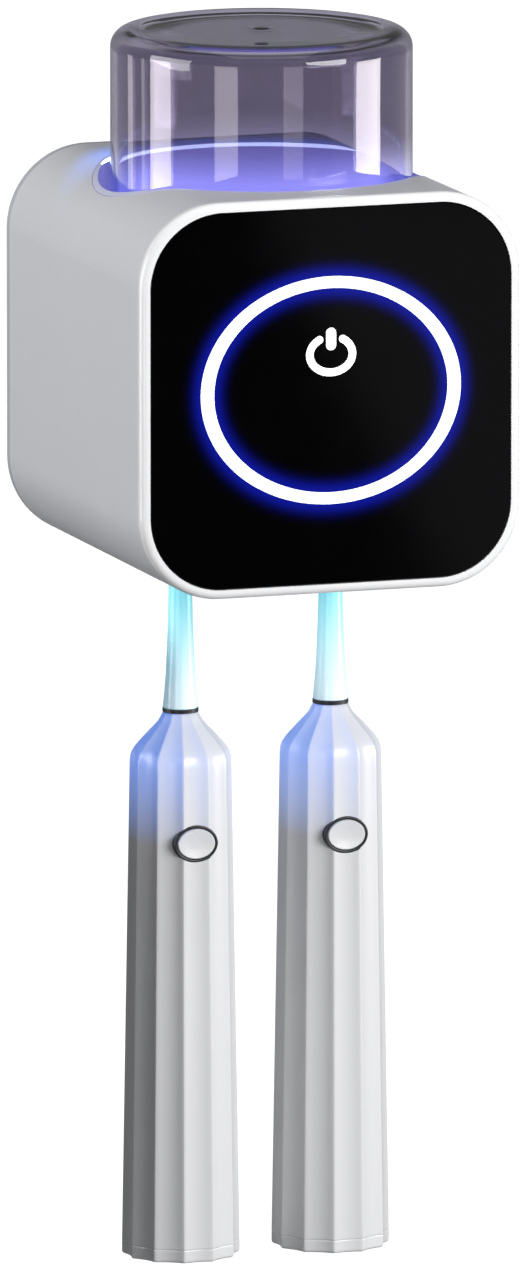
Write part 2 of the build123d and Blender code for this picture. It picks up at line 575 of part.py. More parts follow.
with BuildPart() as chamber_liner:
    block(-CHAMBER_HALF_X, CHAMBER_HALF_X, CHAMBER_FRONT_Y, CHAMBER_REAR_Y,
          LINER_BASE_Z, CHAMBER_TOP_Z)
    fillet(chamber_liner.edges().filter_by(Axis.Z), LINER_CORNER)
    with BuildSketch(Plane.XY.offset(LINER_BASE_Z)):
        with Locations((0, (CHAMBER_FRONT_Y + CHAMBER_REAR_Y) / 2)):
            RectangleRounded(2 * (CHAMBER_HALF_X - LINER_WALL),
                             CHAMBER_REAR_Y - CHAMBER_FRONT_Y - 2 * LINER_WALL,
                             LINER_CORNER - LINER_WALL)
    extrude(amount=CHAMBER_TOP_Z - LINER_BASE_Z - LINER_WALL, mode=Mode.SUBTRACT)
    for x, z in LAMP_STATIONS:
        rod_y(x, z, CHAMBER_FRONT_Y - 1, CHAMBER_FRONT_Y + LINER_WALL + 1, LAMP_WINDOW_RADIUS,
              Mode.SUBTRACT)
    # posts for the lamp board in front and for the main board behind
    for x, z in LAMP_SCREWS:
        rod_y(x, z, LAMP_BOARD_Y, CHAMBER_FRONT_Y, LAMP_POST_RADIUS)
        rod_y(x, z, LAMP_BOARD_Y, CHAMBER_FRONT_Y, SELF_TAP_RADIUS, Mode.SUBTRACT)
    for x, z in MAIN_SCREWS:
        rod_y(x, z, CHAMBER_REAR_Y, MAIN_BOARD_Y, MAIN_POST_RADIUS)
        rod_y(x, z, CHAMBER_REAR_Y + 0.2, MAIN_BOARD_Y, SELF_TAP_RADIUS, Mode.SUBTRACT)
save(chamber_liner, "chamber_liner")

with BuildPart() as chamber_uv_board:
    block(-LAMP_BOARD_HALF_X, LAMP_BOARD_HALF_X, LAMP_BOARD_Y - BOARD_THICK, LAMP_BOARD_Y,
          LAMP_BOARD_Z[0], LAMP_BOARD_Z[1])
    for x, z in LAMP_SCREWS:
        rod_y(x, z, LAMP_BOARD_Y - BOARD_THICK, LAMP_BOARD_Y, BOARD_HOLE_RADIUS, Mode.SUBTRACT)
save(chamber_uv_board, "chamber_uv_board")

with BuildPart() as chamber_uv_leds:
    for x, z in LAMP_STATIONS:
        with Locations((x, LAMP_BOARD_Y + LAMP_LED_STAND / 2, z)):
            Box(LAMP_LED, LAMP_LED_STAND, LAMP_LED)
save(chamber_uv_leds, "chamber_uv_leds")

# ---------------------------------------------------------------- electronics

BATTERY_RADIUS = 9.2
BATTERY_LENGTH = 65.0
BATTERY_Y = -23.6
BATTERY_Z = -2.0
TERMINAL_RADIUS = 2.8
TERMINAL_LENGTH = 1.2

with BuildPart() as main_board:
    block(-MAIN_BOARD_HALF_X, MAIN_BOARD_HALF_X, MAIN_BOARD_Y, MAIN_BOARD_Y + BOARD_THICK,
          MAIN_BOARD_Z[0], MAIN_BOARD_Z[1])
    for x, z in MAIN_SCREWS:
        rod_y(x, z, MAIN_BOARD_Y, MAIN_BOARD_Y + BOARD_THICK, BOARD_HOLE_RADIUS, Mode.SUBTRACT)
save(main_board, "main_board")

CHIP_Y = MAIN_BOARD_Y + BOARD_THICK
CHIPS = [                     # x, z, width, height, how far it stands off the board
    (-8.0, -24.0, 7.0, 7.0, 1.0),
    (10.0, -20.0, 5.0, 6.0, 1.4),
    (12.0, -32.0, 6.5, 6.5, 3.2),
    (-22.0, -22.0, 4.0, 5.0, 1.2),
    (-24.0, -34.0, 8.0, 5.0, 6.0),
    (26.0, -22.0, 3.2, 1.6, 0.9),
    (26.0, -27.0, 3.2, 1.6, 0.9),
    (0.0, -36.0, 3.2, 1.6, 0.9),
]

with BuildPart() as main_board_parts:
    for x, z, width, height, stand in CHIPS:
        block(x - width / 2, x + width / 2, CHIP_Y, CHIP_Y + stand, z - height / 2, z + height / 2)
save(main_board_parts, "main_board_parts")

with BuildPart() as battery_cell:
    with Locations(Location((0, BATTERY_Y, BATTERY_Z), (0, 90, 0))):
        Cylinder(BATTERY_RADIUS, BATTERY_LENGTH)
    fillet(battery_cell.edges(), 0.8)
    with Locations(Location((BATTERY_LENGTH / 2 + TERMINAL_LENGTH / 2, BATTERY_Y, BATTERY_Z), (0, 90, 0))):
        Cylinder(TERMINAL_RADIUS, TERMINAL_LENGTH)
save(battery_cell, "battery_cell")

HOLDER_WALL = 1.6
HOLDER_HALF = BATTERY_LENGTH / 2 + 2 * HOLDER_WALL
CELL_PLAY = 0.3

with BuildPart() as battery_holder:
    block(-HOLDER_HALF, HOLDER_HALF, CHIP_Y, BATTERY_Y + 2,
          BATTERY_Z - BATTERY_RADIUS - HOLDER_WALL, BATTERY_Z + BATTERY_RADIUS + HOLDER_WALL)
    with Locations(Location((0, BATTERY_Y, BATTERY_Z), (0, 90, 0))):
        Cylinder(BATTERY_RADIUS + CELL_PLAY, 2 * HOLDER_HALF - 2 * HOLDER_WALL, mode=Mode.SUBTRACT)
    block(-HOLDER_HALF + HOLDER_WALL, HOLDER_HALF - HOLDER_WALL, BATTERY_Y, BATTERY_Y + 3,
          BATTERY_Z - BATTERY_RADIUS - CELL_PLAY, BATTERY_Z + BATTERY_RADIUS + CELL_PLAY, Mode.SUBTRACT)
save(battery_holder, "battery_holder")

SMALL_HEAD_RADIUS = 2.0
SMALL_HEAD = 1.2
SMALL_SHANK_RADIUS = SELF_TAP_RADIUS - 0.05

with BuildPart() as board_screws:
    for x, z in FRONT_SCREWS:
        back = FRONT_BOARD_Y + BOARD_THICK
        rod_y(x, z, back, back + SMALL_HEAD, SMALL_HEAD_RADIUS)
        rod_y(x, z, GLASS_BACK_Y + 1.5, back, SMALL_SHANK_RADIUS)
    for x, z in MAIN_SCREWS:
        rod_y(x, z, CHIP_Y, CHIP_Y + SMALL_HEAD, SMALL_HEAD_RADIUS)
        rod_y(x, z, MAIN_BOARD_Y - 2, CHIP_Y, SMALL_SHANK_RADIUS)
    for x, z in LAMP_SCREWS:
        front = LAMP_BOARD_Y - BOARD_THICK
        rod_y(x, z, front - SMALL_HEAD, front, SMALL_HEAD_RADIUS)
        rod_y(x, z, front, CHAMBER_FRONT_Y - 0.2, SMALL_SHANK_RADIUS)
    for x, y in CUP_POSTS:
        disc(x, y, CUP_BOARD_Z - SMALL_HEAD, CUP_BOARD_Z, SMALL_HEAD_RADIUS)
        disc(x, y, CUP_BOARD_Z, WELL_FLOOR_Z - FLOOR_THICK - 0.4, POST_HOLE_RADIUS - 0.05)
save(board_screws, "board_screws")

USB_INNER_X = HALF - WALL
USB_DEEP = 7.3
USB_WIDTH = 9.0
USB_HEIGHT = 3.2
USB_SHEET = 0.3               # thickness of the socket's metal shell
TONGUE_HALF = 3.2             # half width of the contact tongue
TONGUE_THICK = 0.7
SOCKET_BOARD_LENGTH = 13.0
SOCKET_BOARD_HALF = 5.0

with BuildPart() as usb_socket:
    with BuildSketch(Plane.YZ.offset(USB_INNER_X - USB_DEEP)):
        with Locations((USB_Y, USB_Z)):
            RectangleRounded(USB_WIDTH, USB_HEIGHT, 1.5)
    extrude(amount=USB_DEEP)
    with BuildSketch(Plane.YZ.offset(USB_INNER_X - USB_DEEP + 0.8)):
        with Locations((USB_Y, USB_Z)):
            RectangleRounded(USB_WIDTH - 2 * USB_SHEET, USB_HEIGHT - 2 * USB_SHEET, 1.25)
    extrude(amount=USB_DEEP, mode=Mode.SUBTRACT)
    block(USB_INNER_X - USB_DEEP, USB_INNER_X - 1.2, USB_Y - TONGUE_HALF, USB_Y + TONGUE_HALF,
          USB_Z - TONGUE_THICK / 2, USB_Z + TONGUE_THICK / 2)
    # the small board that carries the socket
    block(USB_INNER_X - SOCKET_BOARD_LENGTH, USB_INNER_X - 0.5, USB_Y - SOCKET_BOARD_HALF,
          USB_Y + SOCKET_BOARD_HALF, USB_Z - USB_HEIGHT, USB_Z - USB_HEIGHT / 2)
save(usb_socket, "usb_socket")

FLAP_GAP = 0.25
FLAP_THICK = 1.1
FLAP_TOP_Z = USB_Z + USB_POCKET_Z / 2 - FLAP_GAP
FLAP_OUTER_X = HALF - 0.15
FLAP_HINGE_RADIUS = FLAP_THICK / 2
FLAP_PAD = (8.0, 2.2, 0.9)    # width, height and depth of the pad that closes the slot

with BuildPart() as usb_flap:
    # hinge roll along the top edge, blade below it, and the pad that closes the slot
    with Locations(Location((FLAP_OUTER_X - FLAP_HINGE_RADIUS, USB_Y,
                             FLAP_TOP_Z - FLAP_HINGE_RADIUS), (90, 0, 0))):
        Cylinder(FLAP_HINGE_RADIUS, USB_POCKET_Y - 2 * FLAP_GAP)
    block(FLAP_OUTER_X - FLAP_THICK, FLAP_OUTER_X, USB_Y - USB_POCKET_Y / 2 + FLAP_GAP,
          USB_Y + USB_POCKET_Y / 2 - FLAP_GAP, USB_Z - USB_POCKET_Z / 2 + FLAP_GAP,
          FLAP_TOP_Z - FLAP_HINGE_RADIUS)
    block(FLAP_OUTER_X - FLAP_THICK - FLAP_PAD[2], FLAP_OUTER_X - FLAP_THICK,
          USB_Y - FLAP_PAD[0] / 2, USB_Y + FLAP_PAD[0] / 2,
          USB_Z - FLAP_PAD[1] / 2, USB_Z + FLAP_PAD[1] / 2)
save(usb_flap, "usb_flap")

# ---------------------------------------------------------------- toothbrushes

SHOULDER = [                  # height above the collar line, radius to the corners
    (0.0, 4.9),
    (-2.4, 6.0),
    (-8.4, 11.7),
    (-11.5, HANDLE_RADIUS_TOP),
    (CAP_TOP_Z - COLLAR_Z, HANDLE_RADIUS_BASE),
]
FLAT_TURN = 180.0 / HANDLE_SIDES      # puts a flat side square to the front
BUTTON_FACE_Y = -14.1         # from the handle's middle line
CAVITY_RADIUS = 11.9
SHAFT_TOP_Z = -72.0
SHAFT_BASE_Z = -122.0
MOTOR_RADIUS = 8.5
SHAFT_HOLE = SHAFT_RADIUS + 0.1
HEAD_BASE_Z = COLLAR_Z + 1.1
PLATE_HALF_WIDTH = 5.6
PLATE_LENGTH = 25.0
HEAD_PLATE_FRONT = -2.2
HEAD_PLATE_BACK = 2.0
BRISTLE_LENGTH = 8.8
TUFT_RADIUS = 0.72
TUFT_ROWS = [                 # height of each row below the head's top, number of tufts
    (3.0, 3), (5.4, 4), (7.8, 5), (10.2, 4), (12.6, 5), (15.0, 4), (17.4, 5), (19.8, 4), (22.0, 3),
]
TUFT_PITCH = 1.9
CAVITY_NECK_RADIUS = 5.0      # where the bore narrows below the shoulder
CAVITY_NECK_LENGTH = 8.0
SEAL_BORE = 3.7
BUTTON_SEAT_FRONT = -20.0     # these four are measured from the handle's middle line
BUTTON_SEAT_BACK = -8.0
BUTTON_RING_BACK = -11.0
BUTTON_BACK = -12.0
BUTTON_RING_WIDTH = 1.0
BUTTON_PLAY = 0.12
CAP_FILLET = 2.2
CAP_PLUG = 4.0                # how far the base cap plugs into the handle
CAP_WALL = 1.6
BRUSH_BOARD_HALF = 6.0
BRUSH_BOARD_Y = (-10.2, -9.2)
BRUSH_BOARD_Z = (-176.0, -114.5)
SWITCH_Y = -10.9
SWITCH_HALF = 1.8
MOTOR_FOOT_Z = -158.0
MOTOR_NOSE_RADIUS = 4.0
MOTOR_NOSE = 4.0
BRUSH_CELL_RADIUS = 7.1
BRUSH_CELL_BACK = 2.5         # the cell sits behind the middle line, clear of the board
BRUSH_CELL_Z = (-222.0, -168.0)
COIL_RADIUS = 8.6
COIL_BORE = 4.0
COIL_Z = (-233.0, -226.0)
SEAL_RADIUS = 3.65
SEAL_LENGTH = 7.0
SHAFT_PLAY = 0.05
NECK_BASE_RADIUS = 4.7
NECK_STATIONS = [(3.9, -83.0), (3.3, -68.0)]      # radius and height up the tapering neck
NECK_STRAIGHT_Z = (-55.0, -45.0)
NECK_TIP = (2.1, -38.4)
HEAD_RING_RADIUS = 4.8


def twelve_sided(x, z, radius):
    """Sketch of the handle's section at height z, with a flat side to the front."""
    with BuildSketch(Plane.XY.offset(z)) as section:
        with Locations((x, BRUSH_Y)):
            RegularPolygon(radius, HANDLE_SIDES, rotation=FLAT_TURN)
    return section.sketch


for side, x in SIDES.items():
    with BuildPart() as handle_shell:
        for (upper, r_upper), (lower, r_lower) in zip(SHOULDER, SHOULDER[1:]):
            loft(
                [twelve_sided(x, COLLAR_Z + lower, r_lower), twelve_sided(x, COLLAR_Z + upper, r_upper)],
                ruled=True,
            )
        disc(x, BRUSH_Y, CAP_TOP_Z, BODY_TOP_Z + 1, CAVITY_RADIUS, Mode.SUBTRACT)
        with Locations((x, BRUSH_Y, BODY_TOP_Z + 1 + CAVITY_NECK_LENGTH / 2)):
            Cone(CAVITY_RADIUS, CAVITY_NECK_RADIUS, CAVITY_NECK_LENGTH, mode=Mode.SUBTRACT)
        disc(x, BRUSH_Y, BODY_TOP_Z + CAVITY_NECK_LENGTH / 2, COLLAR_Z, SEAL_BORE, Mode.SUBTRACT)
        # oval seat for the button
        oval(x, BUTTON_Z, BRUSH_Y + BUTTON_SEAT_FRONT, BRUSH_Y + BUTTON_SEAT_BACK,
             BUTTON_RADIUS_X + 0.05, BUTTON_RADIUS_Z + 0.05, Mode.SUBTRACT)
    save(handle_shell, f"handle_shell_{side}")

    with BuildPart() as base_cap:
        extrude(twelve_sided(x, HANDLE_BASE_Z, HANDLE_RADIUS_BASE), amount=BASE_CAP_HEIGHT)
        fillet(base_cap.faces().sort_by(Axis.Z)[0].edges(), CAP_FILLET)
        disc(x, BRUSH_Y, CAP_TOP_Z, CAP_TOP_Z + CAP_PLUG, CAVITY_RADIUS - FIT)
        disc(x, BRUSH_Y, HANDLE_BASE_Z + CAP_WALL, CAP_TOP_Z + CAP_PLUG, CAVITY_RADIUS - CAP_WALL,
             Mode.SUBTRACT)
    save(base_cap, f"base_cap_{side}")

    with BuildPart() as button_ring:
        oval(x, BUTTON_Z, BRUSH_Y + BUTTON_FACE_Y + 0.2, BRUSH_Y + BUTTON_RING_BACK, BUTTON_RADIUS_X,
             BUTTON_RADIUS_Z)
        oval(x, BUTTON_Z, BRUSH_Y + BUTTON_FACE_Y, BRUSH_Y + BUTTON_RING_BACK + 1,
             BUTTON_RADIUS_X - BUTTON_RING_WIDTH, BUTTON_RADIUS_Z - BUTTON_RING_WIDTH, Mode.SUBTRACT)
    save(button_ring, f"button_ring_{side}")

    with BuildPart() as button:
        oval(x, BUTTON_Z, BRUSH_Y + BUTTON_FACE_Y, BRUSH_Y + BUTTON_BACK,
             BUTTON_RADIUS_X - BUTTON_RING_WIDTH - BUTTON_PLAY,
             BUTTON_RADIUS_Z - BUTTON_RING_WIDTH - BUTTON_PLAY)
        fillet(button.faces().sort_by(Axis.Y)[0].edges(), 0.5)
    save(button, f"button_{side}")

    with BuildPart() as brush_board:
        block(x - BRUSH_BOARD_HALF, x + BRUSH_BOARD_HALF, BRUSH_Y + BRUSH_BOARD_Y[0],
              BRUSH_Y + BRUSH_BOARD_Y[1], BRUSH_BOARD_Z[0], BRUSH_BOARD_Z[1])
        block(x - SWITCH_HALF, x + SWITCH_HALF, BRUSH_Y + SWITCH_Y, BRUSH_Y + BRUSH_BOARD_Y[0],
              BUTTON_Z - SWITCH_HALF, BUTTON_Z + SWITCH_HALF)
    save(brush_board, f"brush_board_{side}")

    with BuildPart() as motor:
        disc(x, BRUSH_Y, MOTOR_FOOT_Z, SHAFT_BASE_Z, MOTOR_RADIUS)
        fillet(motor.faces().sort_by(Axis.Z)[-1].edges(), 1.0)
        disc(x, BRUSH_Y, SHAFT_BASE_Z, SHAFT_BASE_Z + MOTOR_NOSE, MOTOR_NOSE_RADIUS)
        disc(x, BRUSH_Y, SHAFT_BASE_Z, SHAFT_BASE_Z + MOTOR_NOSE + 1, SHAFT_HOLE, Mode.SUBTRACT)
    save(motor, f"motor_{side}")

    with BuildPart() as brush_battery:
        disc(x, BRUSH_Y + BRUSH_CELL_BACK, BRUSH_CELL_Z[0], BRUSH_CELL_Z[1], BRUSH_CELL_RADIUS)
        fillet(brush_battery.edges(), 0.6)
    save(brush_battery, f"brush_battery_{side}")

    with BuildPart() as charge_coil:
        disc(x, BRUSH_Y, COIL_Z[0], COIL_Z[1], COIL_RADIUS)
        disc(x, BRUSH_Y, COIL_Z[0], COIL_Z[1], COIL_BORE, Mode.SUBTRACT)
    save(charge_coil, f"charge_coil_{side}")

    with BuildPart() as shaft_seal:
        disc(x, BRUSH_Y, COLLAR_Z - SEAL_LENGTH, COLLAR_Z - 0.3, SEAL_RADIUS)
        disc(x, BRUSH_Y, COLLAR_Z - SEAL_LENGTH, COLLAR_Z, SHAFT_HOLE + SHAFT_PLAY, Mode.SUBTRACT)
    save(shaft_seal, f"shaft_seal_{side}")

    with BuildPart() as drive_shaft:
        disc(x, BRUSH_Y, SHAFT_BASE_Z + 0.3, SHAFT_TOP_Z, SHAFT_RADIUS)
        chamfer(drive_shaft.faces().sort_by(Axis.Z)[-1].edges(), 0.5)
    save(drive_shaft, f"drive_shaft_{side}")

    with BuildPart() as brush_head:
        with BuildSketch(facing_front(BRUSH_Y + HEAD_PLATE_FRONT)):
            with Locations(Location((x, HEAD_TOP_Z - PLATE_LENGTH / 2, 0), (0, 0, 90))):
                SlotOverall(PLATE_LENGTH, 2 * PLATE_HALF_WIDTH)
        extrude(amount=-(HEAD_PLATE_BACK - HEAD_PLATE_FRONT))
        fillet(brush_head.faces().sort_by(Axis.Y)[-1].edges(), 1.2)
        with BuildSketch(Plane.XZ.offset(-BRUSH_Y)):
            with BuildLine():
                foot = (x + NECK_BASE_RADIUS, HEAD_BASE_Z)
                straight = [(x + NECK_RADIUS, z) for z in NECK_STRAIGHT_Z]
                Line((x, HEAD_BASE_Z), foot)
                Spline(foot, *((x + r, z) for r, z in NECK_STATIONS), straight[0],
                       tangents=((-0.12, 1), (0, 1)))
                Polyline(*straight, (x + NECK_TIP[0], NECK_TIP[1]), (x, NECK_TIP[1]), (x, HEAD_BASE_Z))
            make_face()
        revolve(axis=Axis((x, BRUSH_Y, 0), (0, 0, 1)))
        disc(x, BRUSH_Y, HEAD_BASE_Z, SHAFT_TOP_Z + 0.5, SHAFT_HOLE, Mode.SUBTRACT)
    save(brush_head, f"brush_head_{side}")

    with BuildPart() as head_ring:
        disc(x, BRUSH_Y, COLLAR_Z + 0.05, HEAD_BASE_Z, HEAD_RING_RADIUS)
        disc(x, BRUSH_Y, COLLAR_Z, HEAD_BASE_Z, SHAFT_HOLE + SHAFT_PLAY, Mode.SUBTRACT)
    save(head_ring, f"head_ring_{side}")

    with BuildPart() as bristles:
        front = BRUSH_Y + HEAD_PLATE_FRONT
        for below, count in TUFT_ROWS:
            for i in range(count):
                rod_y(x + (i - (count - 1) / 2) * TUFT_PITCH, HEAD_TOP_Z - below,
                      front - BRISTLE_LENGTH, front, TUFT_RADIUS)
    save(bristles, f"bristles_{side}")
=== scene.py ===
"""Looks of the wall-hung toothbrush sanitizer: finishes for the CAD pieces, and finer meshes
for the rinse cup, the toothbrushes and the soft grips."""

import math
from functools import partial
from random import Random

import bmesh
import bpy
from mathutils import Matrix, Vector


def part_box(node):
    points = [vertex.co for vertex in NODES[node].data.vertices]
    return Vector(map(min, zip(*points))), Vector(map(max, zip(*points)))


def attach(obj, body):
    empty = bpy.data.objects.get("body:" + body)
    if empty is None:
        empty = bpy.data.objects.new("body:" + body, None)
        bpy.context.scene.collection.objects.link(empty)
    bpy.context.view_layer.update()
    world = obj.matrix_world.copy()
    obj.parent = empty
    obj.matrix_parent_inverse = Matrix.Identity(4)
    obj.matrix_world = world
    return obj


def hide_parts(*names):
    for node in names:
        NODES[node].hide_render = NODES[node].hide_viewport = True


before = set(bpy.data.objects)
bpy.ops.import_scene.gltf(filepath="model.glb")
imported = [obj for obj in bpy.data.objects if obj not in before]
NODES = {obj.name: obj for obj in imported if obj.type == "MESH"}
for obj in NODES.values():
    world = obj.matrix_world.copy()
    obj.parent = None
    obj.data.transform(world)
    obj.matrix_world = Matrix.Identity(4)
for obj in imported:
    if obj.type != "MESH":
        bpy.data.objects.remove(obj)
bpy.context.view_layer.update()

bl_info = {
    "name": "Toothbrush sanitizer",
    "version": (1, 0, 0),
    "blender": (4, 5, 0),
    "location": "View3D > Sidebar > Sanitizer",
    "description": "Dresses a wall-hung toothbrush sanitizer with its cup and two toothbrushes",
    "category": "Object",
}

MM = 0.001
SIDES = ("left", "right")
CAMERA_AZIMUTH = 18.98        # degrees to the left of straight ahead
CAMERA_ELEVATION = 9.29
CAMERA_DISTANCE = 5.847
CAMERA_LENS = 631.0
AIM_RIGHT = -17.9             # from the middle of the front face, mm
AIM_UP = -63.1
FLOOR_Z = -0.335
STUDIO_Y = -0.06              # depth in the object that lights are aimed at
FILL_STRENGTH = 0.21          # the room as a lamp
SEEN_STRENGTH = 0.95          # the room as the camera sees it, also through the clear cup
SHADE_Z = -0.066              # card under the housing's left side, keeps light off the brushes
# outlines of the cards: right and up from their middles, metres
FLAG_OUTLINE = ((-0.5, -0.5), (0.5, -0.5), (0.5, 0.5), (-0.5, 0.5))
DIM_OUTLINE = ((-0.026, 0.07), (0.055, -0.10), (0.12, -0.10), (0.12, 0.07))
SHADE_OUTLINE = ((-0.60, -0.30), (-0.050, -0.30), (-0.050, 0.30), (-0.60, 0.30))
FLAG_DISTANCE = 1.50
DIM_DISTANCE = 1.45
# name, azimuth, elevation, distance, width, height, power, height it is aimed at
STUDIO_LIGHTS = (
    ("key_softbox", 32, 17, 1.6, 0.9, 0.6, 22.5, -0.19),
    ("top_softbox", -10, 72, 1.4, 1.2, 1.2, 5.0, 0.0),
    ("left_softbox", -92, 12, 0.75, 0.5, 0.3, 3.4, 0.0),
)
# strips that show only as streaks in glossy pieces: name, azimuth, distance, width, height,
# power, height they are aimed at
REFLECTION_STRIPS = (
    ("left_streak", -100, 0.62, 0.22, 0.22, 1.5, 0.065),
    ("right_streak", 69, 0.70, 0.31, 0.24, 3.0, 0.065),
    ("soft_streak", -45, 0.75, 0.23, 0.24, 0.8, 0.065),
    ("thin_streak", 5, 0.85, 0.22, 0.24, 0.32, 0.065),
    ("rear_streak", -136, 0.80, 0.10, 0.24, 0.20, 0.065),
    ("rear_thin_streak", -119, 0.80, 0.05, 0.24, 0.10, 0.065),
)
HANDLE_SIDES = 12
# points across one side of a handle, from its middle, close together near the corners
SECTION_SHARES = (-0.985, -0.9, -0.7, -0.45, -0.15, 0.15, 0.45, 0.7, 0.9, 0.985)
SHOULDER_RADIUS = 13.6        # where the handle's straight taper starts, mm
SHOULDER_DROP = 11.5
FLAT_ANGLE = math.radians(50)  # edges sharper than this stay sharp on the handles
BLACK = (0.0, 0.0, 0.0)


# ------------------------------------------------------------------ settings

def colour_setting(name, description, value):
    return bpy.props.FloatVectorProperty(
        name=name, description=description, default=value, size=3, min=0.0, max=1.0, subtype="COLOR"
    )


def length_setting(name, description, value):
    return bpy.props.FloatProperty(
        name=name, description=description, default=value, unit="LENGTH"
    )


def count_setting(name, description, value):
    return bpy.props.IntProperty(name=name, description=description, default=value)


class SanitizerColours(bpy.types.PropertyGroup):
    housing: colour_setting("Housing", "Satin white of the housing shell", (0.66, 0.665, 0.69))
    rim: colour_setting("Rim", "Gloss white of the front rim and port collars", (0.93, 0.93, 0.935))
    cover: colour_setting("Rear cover", "Grey of the rear cover and bracket", (0.46, 0.47, 0.49))
    glass: colour_setting("Front glass", "Black behind the front glass", (0.0012, 0.0011, 0.0014))
    ring_blue: colour_setting("Ring halo", "Blue beside the light ring", (0.010, 0.022, 0.80))
    well_glow: colour_setting("Well light", "Blue-violet light in the cup well", (0.52, 0.50, 1.0))
    smoke: colour_setting("Cup tint", "Smoke tint of the cup's wall", (0.31, 0.285, 0.365))
    brush: colour_setting("Toothbrush", "Satin white of the toothbrush handles", (0.80, 0.80, 0.81))
    neck_glow: colour_setting("Neck light", "Cyan light in the brush necks", (0.10, 0.62, 0.78))
    spill: colour_setting("Spill", "Blue light on the tops of the handles", (0.06, 0.17, 0.60))


class SanitizerSizes(bpy.types.PropertyGroup):
    cup_steps: count_setting("Cup steps", "Facets round the cup", 160)
    side_hollow: length_setting("Side hollow", "How far each side of a handle dips", 0.00065)
    petal_count: count_setting("Petals", "Fingers of each soft grip", 4)
    filaments: count_setting("Filaments", "Filaments in a tuft", 12)


def settings():
    scene = bpy.context.scene
    return scene.sanitizer_colours, scene.sanitizer_sizes


# ------------------------------------------------------------------ shader helpers

def link(tree, source, target):
    tree.links.new(source, target)


def feed(tree, socket, value):
    """Gives an input socket a link, a colour or a number."""
    if isinstance(value, bpy.types.NodeSocket):
        link(tree, value, socket)
    elif isinstance(value, tuple):
        socket.default_value = (*value, 1.0)
    else:
        socket.default_value = value


def math_node(tree, operation, first, second=None, clamp=False):
    """Math node whose inputs are sockets or numbers; returns its output socket."""
    node = tree.nodes.new("ShaderNodeMath")
    node.operation = operation
    node.use_clamp = clamp
    feed(tree, node.inputs[0], first)
    if second is not None:
        feed(tree, node.inputs[1], second)
    return node.outputs[0]


def length_of(tree, first, second):
    """Length of a flat vector from its two parts."""
    squares = [math_node(tree, "MULTIPLY", part, part) for part in (first, second)]
    return math_node(tree, "SQRT", math_node(tree, "ADD", *squares))


def mix_colour(tree, factor, first, second, blend="MIX"):
    """Colour mix of sockets or colours; returns its colour output."""
    node = tree.nodes.new("ShaderNodeMix")
    node.data_type = "RGBA"
    node.blend_type = blend
    for index, value in ((0, factor), (6, first), (7, second)):
        feed(tree, node.inputs[index], value)
    return node.outputs[2]


def smooth_range(tree, value, low, high, start=0.0, end=1.0):
    """Smooth map of value from low..high to start..end."""
    node = tree.nodes.new("ShaderNodeMapRange")
    node.interpolation_type = "SMOOTHSTEP"
    for socket, given in zip(node.inputs, (value, low, high, start, end)):
        feed(tree, socket, given)
    return node.outputs[0]


def noise(tree, vector, scale, detail=3.0):
    node = tree.nodes.new("ShaderNodeTexNoise")
    for label, value in (("Scale", scale), ("Detail", detail), ("Vector", vector)):
        feed(tree, node.inputs[label], value)
    return node.outputs["Fac"]


def split(tree, vector):
    """Outputs X, Y and Z of a vector socket."""
    node = tree.nodes.new("ShaderNodeSeparateXYZ")
    link(tree, vector, node.inputs[0])
    return node.outputs


def new_group(name, inputs, outputs):
    """Shader node group with (name, socket type, default) inputs and (name, type) outputs."""
    group = bpy.data.node_groups.new(name, "ShaderNodeTree")
    for label, kind, value in inputs:
        socket = group.interface.new_socket(label, in_out="INPUT", socket_type=kind)
        if value is not None:
            socket.default_value = value
    for label, kind in outputs:
        group.interface.new_socket(label, in_out="OUTPUT", socket_type=kind)
    given, made = (group.nodes.new(kind) for kind in ("NodeGroupInput", "NodeGroupOutput"))
    return group, given.outputs, made.inputs


FLOAT = "NodeSocketFloat"
COLOUR = "NodeSocketColor"
VECTOR = "NodeSocketVector"


def moulded_group():
    """Moulded plastic: slow cloudiness in colour and gloss, and a fine grain as height."""
    group, given, made = new_group(
        "moulded_group",
        [("Vector", VECTOR, None), ("Color", COLOUR, (0.8, 0.8, 0.8, 1.0)),
         ("Cloudiness", FLOAT, 0.04), ("Roughness", FLOAT, 0.3), ("Gloss Spread", FLOAT, 0.06),
         ("Grain Scale", FLOAT, 2500.0)],
        [("Color", COLOUR), ("Roughness", FLOAT), ("Height", FLOAT)],
    )
    calc = partial(math_node, group)
    cloud = noise(group, given["Vector"], 28.0)
    patch = noise(group, given["Vector"], 90.0, 5.0)
    shade = calc("MULTIPLY", calc("SUBTRACT", cloud, 0.5), given["Cloudiness"])
    level = calc("ADD", calc("MULTIPLY", shade, 2.0), 1.0)
    grey = group.nodes.new("ShaderNodeCombineColor")
    for socket in grey.inputs:
        link(group, level, socket)
    tinted = mix_colour(group, 1.0, given["Color"], grey.outputs[0], "MULTIPLY")
    spread = calc("MULTIPLY", calc("SUBTRACT", patch, 0.5), given["Gloss Spread"])
    link(group, tinted, made["Color"])
    link(group, calc("ADD", calc("MULTIPLY", spread, 2.0), given["Roughness"]), made["Roughness"])
    link(group, noise(group, given["Vector"], given["Grain Scale"], 2.0), made["Height"])
    return group


